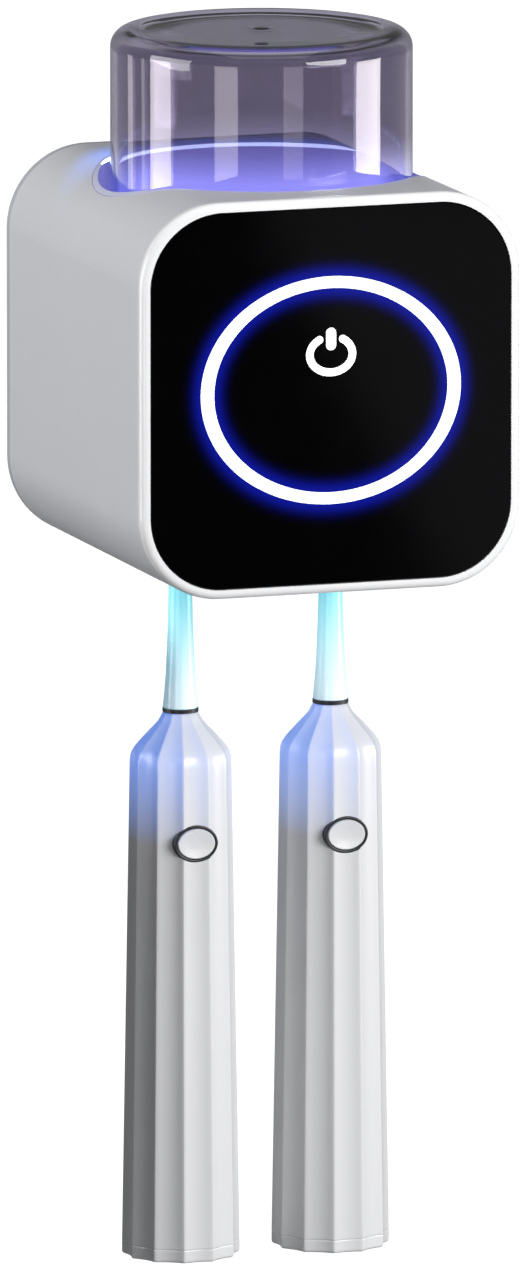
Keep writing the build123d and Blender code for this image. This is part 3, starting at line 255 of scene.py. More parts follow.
def halo_group():
    """Glow beside the oval light ring: a bell curve of the distance from the ring's band."""
    group, given, made = new_group(
        "halo_group",
        [("Vector", VECTOR, None), ("Middle Z", FLOAT, 0.0), ("Radius X", FLOAT, 0.034),
         ("Radius Z", FLOAT, 0.028), ("Band", FLOAT, 0.0018), ("Spread", FLOAT, 0.0017)],
        [("Mask", FLOAT)],
    )
    calc = partial(math_node, group)
    place = split(group, given["Vector"])
    up = calc("SUBTRACT", place["Z"], given["Middle Z"])
    share = length_of(group, calc("DIVIDE", place["X"], given["Radius X"]),
                      calc("DIVIDE", up, given["Radius Z"]))
    reach = length_of(group, place["X"], up)
    off = calc("ABSOLUTE", calc("SUBTRACT", reach, calc("DIVIDE", reach, share)))
    gap = calc("MAXIMUM", calc("SUBTRACT", off, given["Band"]), 0.0)
    ratio = calc("DIVIDE", gap, given["Spread"])
    power = calc("MULTIPLY", calc("MULTIPLY", ratio, ratio), -0.5)
    link(group, calc("EXPONENT", power), made["Mask"])
    return group


def band_group():
    """Thin round line about an upright axis, only above a height."""
    group, given, made = new_group(
        "band_group",
        [("Vector", VECTOR, None), ("Middle X", FLOAT, 0.0), ("Middle Y", FLOAT, 0.0),
         ("Radius", FLOAT, 0.037), ("Half Width", FLOAT, 0.0004), ("Above Z", FLOAT, 0.0)],
        [("Mask", FLOAT), ("Distance", FLOAT)],
    )
    calc = partial(math_node, group)
    place = split(group, given["Vector"])
    reach = length_of(group, calc("SUBTRACT", place["X"], given["Middle X"]),
                      calc("SUBTRACT", place["Y"], given["Middle Y"]))
    off = calc("SUBTRACT", reach, given["Radius"])
    share = calc("DIVIDE", calc("ABSOLUTE", off), given["Half Width"])
    line = calc("SUBTRACT", 1.0, calc("MULTIPLY", share, share), clamp=True)
    high = calc("GREATER_THAN", place["Z"], given["Above Z"])
    link(group, calc("MULTIPLY", line, high), made["Mask"])
    link(group, off, made["Distance"])
    return group


def spill_group():
    """Light that falls from the ports: fades downwards, with most of it on the left."""
    group, given, made = new_group(
        "spill_group",
        [("Vector", VECTOR, None), ("Normal", VECTOR, None), ("Top Z", FLOAT, -0.09),
         ("Bottom Z", FLOAT, -0.13), ("Left Share", FLOAT, 0.7)],
        [("Mask", FLOAT)],
    )
    calc = partial(math_node, group)
    place, facing = split(group, given["Vector"]), split(group, given["Normal"])
    span = calc("SUBTRACT", given["Top Z"], given["Bottom Z"])
    above = calc("SUBTRACT", place["Z"], given["Bottom Z"])
    fade = calc("POWER", calc("DIVIDE", above, span, clamp=True), 0.8)
    left = calc("SUBTRACT", 0.25, facing["X"], clamp=True)
    side = calc("MULTIPLY", left, given["Left Share"])
    even = calc("SUBTRACT", 1.0, given["Left Share"])
    link(group, calc("MULTIPLY", fade, calc("ADD", side, even)), made["Mask"])
    return group


def place_group(tree, build, **values):
    """Adds the group that build makes, built on first use, and feeds its inputs."""
    node = tree.nodes.new("ShaderNodeGroup")
    node.node_tree = bpy.data.node_groups.get(build.__name__) or build()
    for label, value in values.items():
        feed(tree, node.inputs[label.replace("_", " ").title()], value)
    return node


def plastic(name, colour, roughness=0.3, cloudiness=0.03, spread=0.05, grain=2500.0, depth=0.02,
            **extra):
    """Moulded plastic material; extra sets further Principled sockets by name."""
    material = bpy.data.materials.new(f"looks_{name}")
    material.use_nodes = True
    tree = material.node_tree
    shader = tree.nodes["Principled BSDF"]
    place = tree.nodes.new("ShaderNodeTexCoord").outputs["Object"]
    made = place_group(tree, moulded_group, vector=place, color=tuple(colour),
                       cloudiness=cloudiness, roughness=roughness, gloss_spread=spread,
                       grain_scale=grain)
    link(tree, made.outputs["Color"], shader.inputs["Base Color"])
    link(tree, made.outputs["Roughness"], shader.inputs["Roughness"])
    bump = tree.nodes.new("ShaderNodeBump")
    bump.inputs["Strength"].default_value = depth
    bump.inputs["Distance"].default_value = 0.0002
    link(tree, made.outputs["Height"], bump.inputs["Height"])
    link(tree, bump.outputs["Normal"], shader.inputs["Normal"])
    for label, value in extra.items():
        shader.inputs[label.replace("_", " ")].default_value = value
    return material


def coordinates(material):
    """Outputs of the texture coordinate node that plastic() made."""
    return material.node_tree.nodes["Texture Coordinate"].outputs


def emission(material, source, strength):
    """Sets the material's emission to a colour or a colour socket at a fixed strength."""
    tree = material.node_tree
    shader = tree.nodes["Principled BSDF"]
    feed(tree, shader.inputs["Emission Color"], source)
    shader.inputs["Emission Strength"].default_value = strength


def glow(material, mask, first, second, strength):
    """Emission that goes from the first colour to the second as the mask goes from 0 to 1."""
    emission(material, mix_colour(material.node_tree, mask, first, second), strength)


def cloudy_glow(material, scale, first, second, strength):
    """Emission that wavers between two colours in soft patches."""
    mask = noise(material.node_tree, coordinates(material)["Object"], scale)
    glow(material, mask, first, second, strength)


def dress(material, *names):
    """Gives CAD nodes a material in place of their plain one."""
    for name in names:
        piece = NODES[name]
        piece.data.materials.clear()
        piece.data.materials.append(material)


# ------------------------------------------------------------------ mesh helpers

def new_object(name, bm, *materials):
    """Turns a bmesh into an object of the scene."""
    mesh = bpy.data.meshes.new(name)
    bm.to_mesh(mesh)
    bm.free()
    for material in materials:
        mesh.materials.append(material)
    made = bpy.data.objects.new(name, mesh)
    bpy.context.scene.collection.objects.link(made)
    return made


def new_piece(name, bm, material, body, replaced):
    """Smooth object that rides on body and stands for the replaced node."""
    bmesh.ops.recalc_face_normals(bm, faces=bm.faces)
    piece = new_object(name, bm, material)
    for polygon in piece.data.polygons:
        polygon.use_smooth = True
    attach(piece, body)
    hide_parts(replaced)
    return piece


def ring_loop(bm, points):
    return [bm.verts.new(p) for p in points]


def bridge(bm, first, second):
    """Quads between two closed loops of the same length."""
    count = len(first)
    for i in range(count):
        j = (i + 1) % count
        bm.faces.new((first[i], first[j], second[j], second[i]))


def bridge_all(bm, loops):
    for first, second in zip(loops, loops[1:]):
        bridge(bm, first, second)


def skin(bm, loops, closed=False):
    """Closes a row of loops with a face at each end, or with a wall back to the first."""
    bridge_all(bm, loops)
    if closed:
        bridge(bm, loops[-1], loops[0])
        return
    for loop in (loops[0], loops[-1]):
        bm.faces.new(loop)


def circle_points(x, y, z, radius, steps):
    """Level circle."""
    turns = [math.tau * i / steps for i in range(steps)]
    return [Vector((x + radius * math.cos(t), y + radius * math.sin(t), z)) for t in turns]


def oval_points(x, y, z, rx, rz, steps):
    """Upright oval that faces the front."""
    turns = [math.tau * i / steps for i in range(steps)]
    return [Vector((x + rx * math.cos(t), y, z + rz * math.sin(t))) for t in turns]


def arc(cx, cz, radius, start, end, steps):
    """Points (r, z) of an arc in a lathe profile, angles in degrees."""
    turns = [math.radians(start + (end - start) * i / steps) for i in range(steps + 1)]
    return [(cx + radius * math.cos(t), cz + radius * math.sin(t)) for t in turns]


def fan(bm, pole, rim):
    """Triangles from one vertex to a closed loop."""
    for i in range(len(rim)):
        bm.faces.new((pole, rim[i], rim[(i + 1) % len(rim)]))


def lathe(bm, x, y, profile, steps, closed=False):
    """Revolves (radius, z) points about the line through (x, y); a radius of 0 is a pole."""
    loops = []
    for radius, z in profile:
        if radius < 1e-7:
            loops.append([bm.verts.new((x, y, z))])
        else:
            loops.append(ring_loop(bm, circle_points(x, y, z, radius, steps)))
    pairs = list(zip(loops, loops[1:]))
    if closed:
        pairs.append((loops[-1], loops[0]))
    for first, second in pairs:
        if len(first) == len(second):
            bridge(bm, first, second)
        elif len(first) == 1:
            fan(bm, first[0], second)
        else:
            fan(bm, second[0], first)


def crisp(piece, angle):
    """Weighted normals, so that flat sides stay flat between their rounded edges."""
    modifier = piece.modifiers.new("Weighted Normal", "WEIGHTED_NORMAL")
    modifier.keep_sharp = True
    piece.data.set_sharp_from_angle(angle=math.radians(angle))


def box_and_middle(name):
    """Lowest corner, highest corner and middle of a CAD node."""
    low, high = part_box(name)
    return low, high, (low + high) / 2


def direction(azimuth, elevation):
    """Unit vector from the object towards a place in the studio."""
    turn, lift = math.radians(azimuth), math.radians(elevation)
    flat = math.cos(lift)
    return Vector((math.sin(turn) * flat, -math.cos(turn) * flat, math.sin(lift)))


def sideways(azimuth):
    """Level unit vector to the right of that direction."""
    turn = math.radians(azimuth)
    return Vector((math.cos(turn), math.sin(turn), 0.0))


# ------------------------------------------------------------------ operators

class SANITIZER_OT_stage(bpy.types.Operator):
    """Makes the pale floor, the soft lights, the cards and the camera"""
    bl_idname = "sanitizer.stage"
    bl_label = "Stage"

    def execute(self, context):
        self.camera()
        self.floor()
        self.lights()
        self.cards()
        return {"FINISHED"}

    def camera(self):
        low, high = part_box("front_bezel")
        front = Vector((0.0, low.y, (low.z + high.z) / 2))
        back = direction(-CAMERA_AZIMUTH, CAMERA_ELEVATION)
        right = sideways(-CAMERA_AZIMUTH)
        aim = front + AIM_RIGHT * MM * right + AIM_UP * MM * back.cross(right)
        data = bpy.data.cameras.new("studio_camera")
        data.lens = CAMERA_LENS
        data.clip_end = 50.0
        camera = bpy.data.objects.new("studio_camera", data)
        camera.location = front + CAMERA_DISTANCE * back
        camera.rotation_euler = (aim - camera.location).to_track_quat("-Z", "Y").to_euler()
        scene = bpy.context.scene
        scene.collection.objects.link(camera)
        scene.camera = camera
        scene.view_settings.view_transform = "Standard"

    def floor(self):
        """Bright floor for the camera, which casts no light up onto the object."""
        bm = bmesh.new()
        bmesh.ops.create_grid(bm, x_segments=8, y_segments=8, size=1.0)
        for vertex in bm.verts:
            vertex.co = Vector((vertex.co.x * 4.0, vertex.co.y * 3.2 + 2.2, FLOOR_Z))
        pale = plastic("floor_pale", (0.3, 0.3, 0.3), roughness=0.9, cloudiness=0.0, spread=0.0)
        emission(pale, (1.0, 1.0, 1.0), 1.0)
        floor = new_object("floor", bm, pale)
        floor.visible_diffuse = False
        floor.visible_glossy = False

    def lights(self):
        world = bpy.data.worlds.new("studio")
        bpy.context.scene.world = world
        world.use_nodes = True
        tree = world.node_tree
        background = tree.nodes["Background"]
        background.inputs["Color"].default_value = (0.95, 0.97, 1.0, 1.0)
        path = tree.nodes.new("ShaderNodeLightPath").outputs
        seen = math_node(tree, "MAXIMUM", path["Is Camera Ray"], path["Is Transmission Ray"])
        strength = smooth_range(tree, seen, 0.0, 1.0, FILL_STRENGTH, SEEN_STRENGTH)
        link(tree, strength, background.inputs["Strength"])
        for row in STUDIO_LIGHTS:
            self.area(*row)
        for name, azimuth, *row in REFLECTION_STRIPS:
            strip = self.area(name, azimuth, -CAMERA_ELEVATION, *row)
            strip.visible_diffuse = False
            strip.data.color = (1.0, 0.95, 0.96)

    def area(self, name, azimuth, elevation, distance, width, height, power, aim_z):
        data = bpy.data.lights.new(name, "AREA")
        data.shape = "RECTANGLE"
        data.size = width
        data.size_y = height
        data.energy = power
        light = bpy.data.objects.new(name, data)
        back = direction(azimuth, elevation)
        light.location = Vector((0.0, STUDIO_Y, aim_z)) + distance * back
        light.rotation_euler = (-back).to_track_quat("-Z", "Y").to_euler()
        bpy.context.scene.collection.objects.link(light)
        return light

    def cards(self):
        """Black card that the front glass mirrors, a dim card before it, and the shade."""
        low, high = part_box("front_panel")
        glass = Vector((0.0, low.y, (low.z + high.z) / 2))
        back = direction(CAMERA_AZIMUTH, -CAMERA_ELEVATION)
        right = sideways(CAMERA_AZIMUTH)
        up = back.cross(right)
        black, dim = (
            plastic(name, BLACK, roughness=1.0, cloudiness=0.0, spread=0.0, Specular_IOR_Level=0.0)
            for name in ("flag_black", "card_dim")
        )
        emission(dim, (1.0, 0.95, 1.0), 0.6)
        self.card("flag", black, glass + FLAG_DISTANCE * back, right, up, FLAG_OUTLINE)
        self.card("dim_card", dim, glass + DIM_DISTANCE * back, right, up, DIM_OUTLINE)
        shade = self.card("shade", black, Vector((0.0, STUDIO_Y, SHADE_Z)), Vector((1, 0, 0)),
                          Vector((0, 1, 0)), SHADE_OUTLINE)
        shade.visible_diffuse = True
        shade.visible_shadow = True
        shade.visible_glossy = False

    def card(self, name, material, centre, right, up, outline):
        bm = bmesh.new()
        bm.faces.new(ring_loop(bm, [centre + x * right + z * up for x, z in outline]))
        card = new_object(name, bm, material)
        card.visible_camera = False
        card.visible_diffuse = False
        card.visible_transmission = False
        card.visible_shadow = False
        return card


class SANITIZER_OT_housing(bpy.types.Operator):
    """Finishes the housing shell, its covers and the bracket"""
    bl_idname = "sanitizer.housing"
    bl_label = "Housing"

    def execute(self, context):
        colours, _ = settings()
        shell = plastic("satin_white", colours.housing, 0.42, 0.02, 0.06, 3200.0, 0.05)
        self.spill(shell)
        dress(shell, "housing_shell")
        dress(plastic("gloss_white", colours.rim, 0.18, 0.01, 0.03), "front_bezel",
              "port_collar_left", "port_collar_right")
        dress(plastic("matte_grey", colours.cover, 0.62, 0.05, 0.08, 1400.0, 0.25), "back_cover",
              "wall_plate", "port_plate")
        dress(plastic("screw_steel", (0.55, 0.56, 0.58), 0.32, 0.06, 0.1, 900.0, 0.1, Metallic=1.0),
              "back_cover_screws", "board_screws", "usb_socket", "motor_left", "motor_right",
              "drive_shaft_left", "drive_shaft_right")
        dress(plastic("silicone_grey", (0.22, 0.225, 0.24), 0.6, 0.04, 0.08, 1800.0, 0.12),
              "usb_flap", "shaft_seal_left", "shaft_seal_right")
        return {"FINISHED"}

    def spill(self, material):
        """Blue light from the well on the top of the housing, most of it behind the well."""
        tree = material.node_tree
        low, high, centre = box_and_middle("cup_well")
        place = coordinates(material)
        ring = place_group(tree, band_group, vector=place["Object"], middle_x=centre.x,
                           middle_y=centre.y, radius=(high.x - low.x) / 2, half_width=MM,
                           above_z=0.0)
        fade = smooth_range(tree, ring.outputs["Distance"], -2 * MM, 13 * MM, 1.0, 0.0)
        depth = split(tree, place["Object"])["Y"]
        behind = smooth_range(tree, depth, centre.y + 12 * MM, centre.y + 38 * MM)
        up = math_node(tree, "MULTIPLY", split(tree, place["Normal"])["Z"], 1.0, clamp=True)
        mask = math_node(tree, "MULTIPLY", math_node(tree, "MULTIPLY", fade, behind), up)
        glow(material, mask, BLACK, (0.07, 0.18, 0.72), 1.2)


class SANITIZER_OT_front(bpy.types.Operator):
    """Finishes the black glass, the light ring and the power mark"""
    bl_idname = "sanitizer.front"
    bl_label = "Front glass and ring"

    def execute(self, context):
        colours, _ = settings()
        low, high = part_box("light_ring")
        inner_low, inner_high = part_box("touch_plate")
        oval = {"middle_z": (low.z + high.z) / 2, "radius_x": (high.x + inner_high.x) / 2,
                "radius_z": (high.z - low.z + inner_high.z - inner_low.z) / 4}
        glass = plastic("black_glass", colours.glass, 0.06, 0.0, 0.03, 500.0, 0.0,
                        Specular_IOR_Level=0.12)
        halo = place_group(glass.node_tree, halo_group, vector=coordinates(glass)["Object"],
                           band=(high.x - inner_high.x) / 2, spread=1.65 * MM, **oval)
        glow(glass, halo.outputs["Mask"], BLACK, tuple(colours.ring_blue), 0.36)
        dress(glass, "front_panel", "touch_plate")
        ring = plastic("ring_guide", (0.9, 0.93, 1.0), 0.35, 0.0, 0.02)
        core = place_group(ring.node_tree, halo_group, vector=coordinates(ring)["Object"],
                           band=0.9 * MM, spread=0.55 * MM, **oval)
        glow(ring, core.outputs["Mask"], (0.55, 0.68, 1.0), (0.97, 0.99, 1.0), 1.0)
        dress(ring, "light_ring")
        mark = plastic("mark_guide", (0.95, 0.95, 0.95), 0.35, 0.0, 0.02)
        cloudy_glow(mark, 300.0, (0.80, 0.80, 0.81), (1.0, 1.0, 1.0), 0.9)
        dress(mark, "power_symbol")
        return {"FINISHED"}


class SANITIZER_OT_cup(bpy.types.Operator):
    """Makes the clear smoke cup that stands mouth down in the well"""
    bl_idname = "sanitizer.cup"
    bl_label = "Rinse cup"

    def execute(self, context):
        colours, sizes = settings()
        low, high, centre = box_and_middle("cup")
        outer = (high.x - low.x) / 2
        wall, base, edge = 1.8 * MM, 2.4 * MM, 5.0 * MM
        inner = outer - wall
        punt, sink = 32.0 * MM, 0.4 * MM
        floor = high.z - sink
        profile = [(outer - wall / 2, low.z)]
        profile += arc(outer - wall / 2, low.z + wall / 2, wall / 2, -90, 0, 6)[1:]
        profile += [(outer, low.z + (high.z - low.z) * share) for share in (0.25, 0.5, 0.75)]
        profile += arc(outer - edge, high.z - edge, edge, 0, 90, 12)
        profile += [(punt + 0.5 * MM, high.z), (punt, high.z - 0.15 * MM), (punt - 0.5 * MM, floor)]
        profile += [(punt * share, floor) for share in (0.7, 0.4, 0.12)]
        # gate dimple in the middle of the base
        profile += [(2.2 * MM, floor), (1.7 * MM, floor + 0.35 * MM), (0.9 * MM, floor + 0.4 * MM),
                    (0.0, floor + 0.1 * MM)]
        within = [(0.0, high.z - base)]
        within += [(inner * share, high.z - base) for share in (0.2, 0.5, 0.75)]
        within += arc(inner - edge + wall, high.z - base - edge + wall, edge - wall, 90, 0, 10)
        within += [(inner, low.z + (high.z - low.z) * share) for share in (0.75, 0.5, 0.25)]
        within += arc(outer - wall / 2, low.z + wall / 2, wall / 2, 180, 270, 6)[:-1]
        bm = bmesh.new()
        steps = sizes.cup_steps
        lathe(bm, centre.x, centre.y, profile, steps)
        lathe(bm, centre.x, centre.y, within + [profile[0]], steps)
        bmesh.ops.remove_doubles(bm, verts=bm.verts, dist=1e-6)
        new_piece("rinse_cup", bm, self.smoke(colours), "cup", "cup")
        return {"FINISHED"}

    def smoke(self, colours):
        material = plastic("smoke_clear", colours.smoke, 0.02, 0.02, 0.01, 400.0, 0.0)
        tree = material.node_tree
        shader = tree.nodes["Principled BSDF"]
        shader.inputs["Transmission Weight"].default_value = 1.0
        shader.inputs["IOR"].default_value = 1.45
        low, high, centre = box_and_middle("cup")
        place = coordinates(material)["Object"]
        parts = split(tree, place)
        # painted light: the lower part of the cup, down in the well, turns pale violet and glows
        # faintly blue, for the well light in it
        lit = smooth_range(tree, parts["Z"], low.z + 30 * MM, low.z + 46 * MM, 1.0, 0.0)
        tint = shader.inputs["Base Color"].links[0].from_socket
        tint = mix_colour(tree, lit, tint, (0.78, 0.76, 0.93))
        # painted shade: a dark line where the wall turns into the base, on the front half only
        edge = place_group(tree, band_group, vector=place, middle_x=centre.x, middle_y=centre.y,
                           radius=(high.x - low.x) / 2 - 4.1 * MM, half_width=2.5 * MM,
                           above_z=high.z - 2.2 * MM)
        nearer = smooth_range(tree, parts["Y"], centre.y - 20 * MM, centre.y - 2 * MM, 1.0, 0.0)
        line = math_node(tree, "MULTIPLY", edge.outputs["Mask"], nearer)
        dark = mix_colour(tree, line, tint, (0.0005, 0.0004, 0.0008))
        link(tree, dark, shader.inputs["Base Color"])
        glow(material, lit, BLACK, (0.016, 0.02, 0.08), 1.0)
        return material


class SANITIZER_OT_well(bpy.types.Operator):
    """Finishes the lit cup well and its domed lens"""
    bl_idname = "sanitizer.well"
    bl_label = "Cup well"

    def execute(self, context):
        colours, _ = settings()
        low, high, centre = box_and_middle("cup_well")
        # painted shade and light: the well's white plastic gets a dark blue base colour, for the
        # shade down in the well and its blue light
        well = plastic("well_white", (0.16, 0.17, 0.36), 0.25, 0.01, 0.03)
        tree = well.node_tree
        place = coordinates(well)
        parts = split(tree, place["Object"])
        # painted light and shade: the part of the wall behind the cup that faces the viewer glows
        # in the well light's colour, and the rest glows a faint navy for shade
        facing = tree.nodes.new("ShaderNodeVectorMath")
        facing.operation = "DOT_PRODUCT"
        link(tree, place["Normal"], facing.inputs[0])
        facing.inputs[1].default_value = (-0.33, -0.94, 0.0)
        front = smooth_range(tree, facing.outputs["Value"], 0.40, 0.72)
        wall = mix_colour(tree, front, (0.02, 0.02, 0.12), tuple(colours.well_glow))
        # painted light: a pale line glows along the well's lip, from nothing at the front to
        # brightest at the back
        rim = place_group(tree, band_group, vector=place["Object"], middle_x=centre.x,
                          middle_y=centre.y, radius=(high.x - low.x) / 2 - 1.3 * MM,
                          half_width=0.8 * MM, above_z=high.z - 0.9 * MM)
        behind = smooth_range(tree, parts["Y"], centre.y - 6 * MM, centre.y + 26 * MM, 0.0, 4.0)
        lip = mix_colour(tree, 1.0, (0.66, 0.80, 1.0), behind, "MULTIPLY")
        glow(well, rim.outputs["Mask"], wall, lip, 1.0)
        # the flange on top of the housing has the housing's colour
        up = smooth_range(tree, split(tree, place["Normal"])["Z"], 0.3, 0.7)
        high_up = math_node(tree, "GREATER_THAN", parts["Z"], low.z + 30 * MM)
        base_colour = tree.nodes["Principled BSDF"].inputs["Base Color"]
        flange = math_node(tree, "MULTIPLY", up, high_up)
        tint = mix_colour(tree, flange, base_colour.links[0].from_socket, tuple(colours.housing))
        link(tree, tint, base_colour)
        dress(well, "cup_well")
        lens = plastic("lens_clear", (0.75, 0.78, 0.98), 0.15, 0.02, 0.03)
        cloudy_glow(lens, 120.0, (0.30, 0.30, 0.95), (0.45, 0.48, 1.0), 1.2)
        dress(lens, "cup_lens")
        return {"FINISHED"}


class SANITIZER_OT_chamber(bpy.types.Operator):
    """Finishes the lamp chamber and makes the soft grips"""
    bl_idname = "sanitizer.chamber"
    bl_label = "Lamp chamber and grips"

    def execute(self, context):
        liner = plastic("bright_liner", (0.62, 0.66, 0.80), 0.2, 0.03, 0.06, 300.0, 0.04,
                        Metallic=0.85)
        # painted light: the liner glows blue in soft patches, for the chamber lamps' light on it
        cloudy_glow(liner, 60.0, (0.10, 0.30, 0.80), (0.22, 0.42, 0.95), 0.6)
        dress(liner, "chamber_liner")
        _, sizes = settings()
        rubber = plastic("grip_silicone", (0.24, 0.26, 0.33), 0.55, 0.04, 0.08, 1800.0, 0.12)
        for side in SIDES:
            self.grip(side, rubber, sizes.petal_count)
        return {"FINISHED"}

    def grip(self, side, material, petals):
        low, high, centre = box_and_middle(f"grip_{side}")
        outer = (high.x - low.x) / 2
        hole, slit_out = 3.6 * MM, 11.6 * MM
        steps = 16
        slit = math.radians(1.6)
        bm = bmesh.new()

        def sheet_z(radius):
            share = (radius - hole) / (outer - hole)
            return centre.z + 0.2 * MM - 0.9 * MM * (1 - share) ** 2

        # fingers: thin wedges that dip towards the neck
        thick = 0.35 * MM
        radii = [hole + (slit_out - hole) * i / 6 for i in range(7)]
        for petal in range(petals):
            start = math.tau * petal / petals + slit
            end = math.tau * (petal + 1) / petals - slit
            rows = []
            turns = [start + (end - start) * i / steps for i in range(steps + 1)]
            for radius in radii:
                taper = thick * (0.6 + 0.4 * (radius - hole) / (slit_out - hole))
                flat = [(centre.x + radius * math.cos(t), centre.y + radius * math.sin(t))
                        for t in turns]
                z = sheet_z(radius)
                top = ring_loop(bm, [(x, y, z + taper) for x, y in flat])
                under = ring_loop(bm, [(x, y, z - taper) for x, y in reversed(flat)])
                rows.append(top + under)
            bridge_all(bm, rows)
            bm.faces.new(rows[0])
            bm.faces.new(list(reversed(rows[-1])))
        # outer bead that seats in the port
        seat = slit_out - 0.2 * MM
        bead = [(seat, centre.z - 0.15 * MM), (seat, centre.z + 0.55 * MM),
                (outer - 0.5 * MM, high.z), (outer, high.z - 0.4 * MM),
                (outer, low.z + 0.4 * MM), (outer - 0.5 * MM, low.z)]
        lathe(bm, centre.x, centre.y, bead, 96, closed=True)
        piece = new_piece(f"soft_grip_{side}", bm, material, "housing",
                          f"grip_{side}")
        crisp(piece, 40)


class SANITIZER_OT_handles(bpy.types.Operator):
    """Makes the twelve-sided toothbrush handles, their caps and buttons"""
    bl_idname = "sanitizer.handles"
    bl_label = "Toothbrush handles"

    def execute(self, context):
        colours, sizes = settings()
        white = self.white(colours)
        black = plastic("ring_black", (0.012, 0.012, 0.014), 0.35, 0.02, 0.05)
        for side in SIDES:
            self.handle(side, white, sizes.side_hollow)
            self.button(side, white, black)
        dress(black, "head_ring_left", "head_ring_right")
        return {"FINISHED"}

    def white(self, colours):
        material = plastic("brush_satin", colours.brush, 0.3, 0.015, 0.04, 3000.0, 0.03)
        place = coordinates(material)
        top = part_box("handle_shell_left")[1].z
        fall = place_group(material.node_tree, spill_group, vector=place["Object"],
                           normal=place["Normal"], top_z=top - 12 * MM, bottom_z=top - 34 * MM,
                           left_share=0.88)
        glow(material, fall.outputs["Mask"], BLACK, tuple(colours.spill), 1.0)
        return material

    def section(self, x, y, z, radius, hollow):
        """Twelve-sided outline with a flat side to the front; each side is slightly hollow."""
        points = []
        half = math.pi / HANDLE_SIDES
        flat = radius * math.cos(half)
        reach = radius * math.sin(half)
        for i in range(HANDLE_SIDES):
            facing = -math.pi / 2 + 2 * half * i
            out = Vector((math.cos(facing), math.sin(facing), 0.0))
            along = Vector((-math.sin(facing), math.cos(facing), 0.0))
            for share in SECTION_SHARES:
                dip = hollow * (1.0 - share * share) + 0.01 * radius * abs(share) ** 24
                points.append(Vector((x, y, z)) + out * (flat - dip) + along * (reach * share))
        return points

    def handle(self, side, material, hollow):
        low, high, centre = box_and_middle(f"handle_shell_{side}")
        widest = (high.x - low.x) / 2 / math.cos(math.pi / HANDLE_SIDES)
        foot = low.z
        # depth below the collar and radius to the corners, as on the solid handle
        stations = [(0.0, 4.5), (0.2, 4.8), (1.2, 5.3), (2.4, 6.0), (3.6, 7.1), (5.0, 8.5),
                    (6.6, 10.0), (8.0, 11.3), (9.2, 12.3), (10.4, 13.05), (11.6, 13.45),
                    (13.2, 13.62)]
        taper = (widest / MM - SHOULDER_RADIUS) / ((high.z - foot) / MM - SHOULDER_DROP)
        stations += [(drop, SHOULDER_RADIUS + taper * (drop - SHOULDER_DROP))
                     for drop in (16.0, 20.0, 27.0, 40.0, 60.0, 90.0, 120.0)]
        rows = [(high.z - drop * MM, radius * MM, hollow * min(1.0, radius / SHOULDER_RADIUS) ** 2)
                for drop, radius in stations]
        rows += [(foot + 0.5 * MM, widest, hollow), (foot + 0.1 * MM, widest, hollow),
                 (foot, widest - 0.1 * MM, hollow)]
        bm = bmesh.new()
        loops = [ring_loop(bm, self.section(centre.x, centre.y, *row)) for row in rows]
        bore = [ring_loop(bm, circle_points(centre.x, centre.y, high.z - sink * MM, 3.72 * MM,
                                            len(loops[0]))) for sink in (11.0, 0.0)]
        # the bore starts at the corner nearest to the outline's first point
        shift = self.nearest(bore[1], loops[0][0])
        skin(bm, [loop[shift:] + loop[:shift] for loop in bore] + loops)
        piece = new_piece(f"brush_handle_{side}", bm, material, f"brush_{side}",
                          f"handle_shell_{side}")
        self.seat(piece, side)
        piece.data.set_sharp_from_angle(angle=FLAT_ANGLE)
        self.cap(side, material, hollow, centre, widest)

    def cap(self, side, material, hollow, centre, widest):
        """Base cap that carries the handle's sides down to a rounded foot."""
        foot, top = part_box(f"base_cap_{side}")[0].z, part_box(f"handle_shell_{side}")[0].z
        turn = 0.8 * MM
        rows = [(top, widest - 0.1 * MM), (top - 0.1 * MM, widest), (top - 0.4 * MM, widest),
                (foot + turn + 0.2 * MM, widest)]
        for angle in map(math.radians, (0, 18, 36, 54, 72, 90)):
            rows.append((foot + turn - turn * math.sin(angle),
                         widest - turn + turn * math.cos(angle)))
        bm = bmesh.new()
        skin(bm, [ring_loop(bm, self.section(centre.x, centre.y, z, radius, hollow))
                  for z, radius in rows])
        piece = new_piece(f"brush_base_{side}", bm, material, f"brush_{side}",
                          f"base_cap_{side}")
        piece.data.set_sharp_from_angle(angle=FLAT_ANGLE)

    def nearest(self, loop, vertex):
        return min(range(len(loop)), key=lambda i: (loop[i].co.xy - vertex.co.xy).length)

    def seat(self, piece, side):
        """Cuts the button's oval seat, as deep as the button travels, out of the front side."""
        low, high, centre = box_and_middle(f"button_ring_{side}")
        floor = max(high.y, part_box(f"button_{side}")[1].y + 1.2 * MM)
        rx, rz = (high.x - low.x) / 2 + 0.06 * MM, (high.z - low.z) / 2 + 0.06 * MM
        bm = bmesh.new()
        skin(bm, [ring_loop(bm, oval_points(centre.x, y, centre.z, rx, rz, 64))
                  for y in (low.y - 4 * MM, floor)])
        bmesh.ops.recalc_face_normals(bm, faces=bm.faces)
        cutter = new_object("seat_cutter", bm)
        modifier = piece.modifiers.new("Button seat", "BOOLEAN")
        modifier.operation = "DIFFERENCE"
        modifier.solver = "EXACT"
        modifier.object = cutter
        with bpy.context.temp_override(object=piece, active_object=piece,
                                       selected_objects=[piece]):
            bpy.ops.object.modifier_apply(modifier=modifier.name)
        bpy.data.objects.remove(cutter)

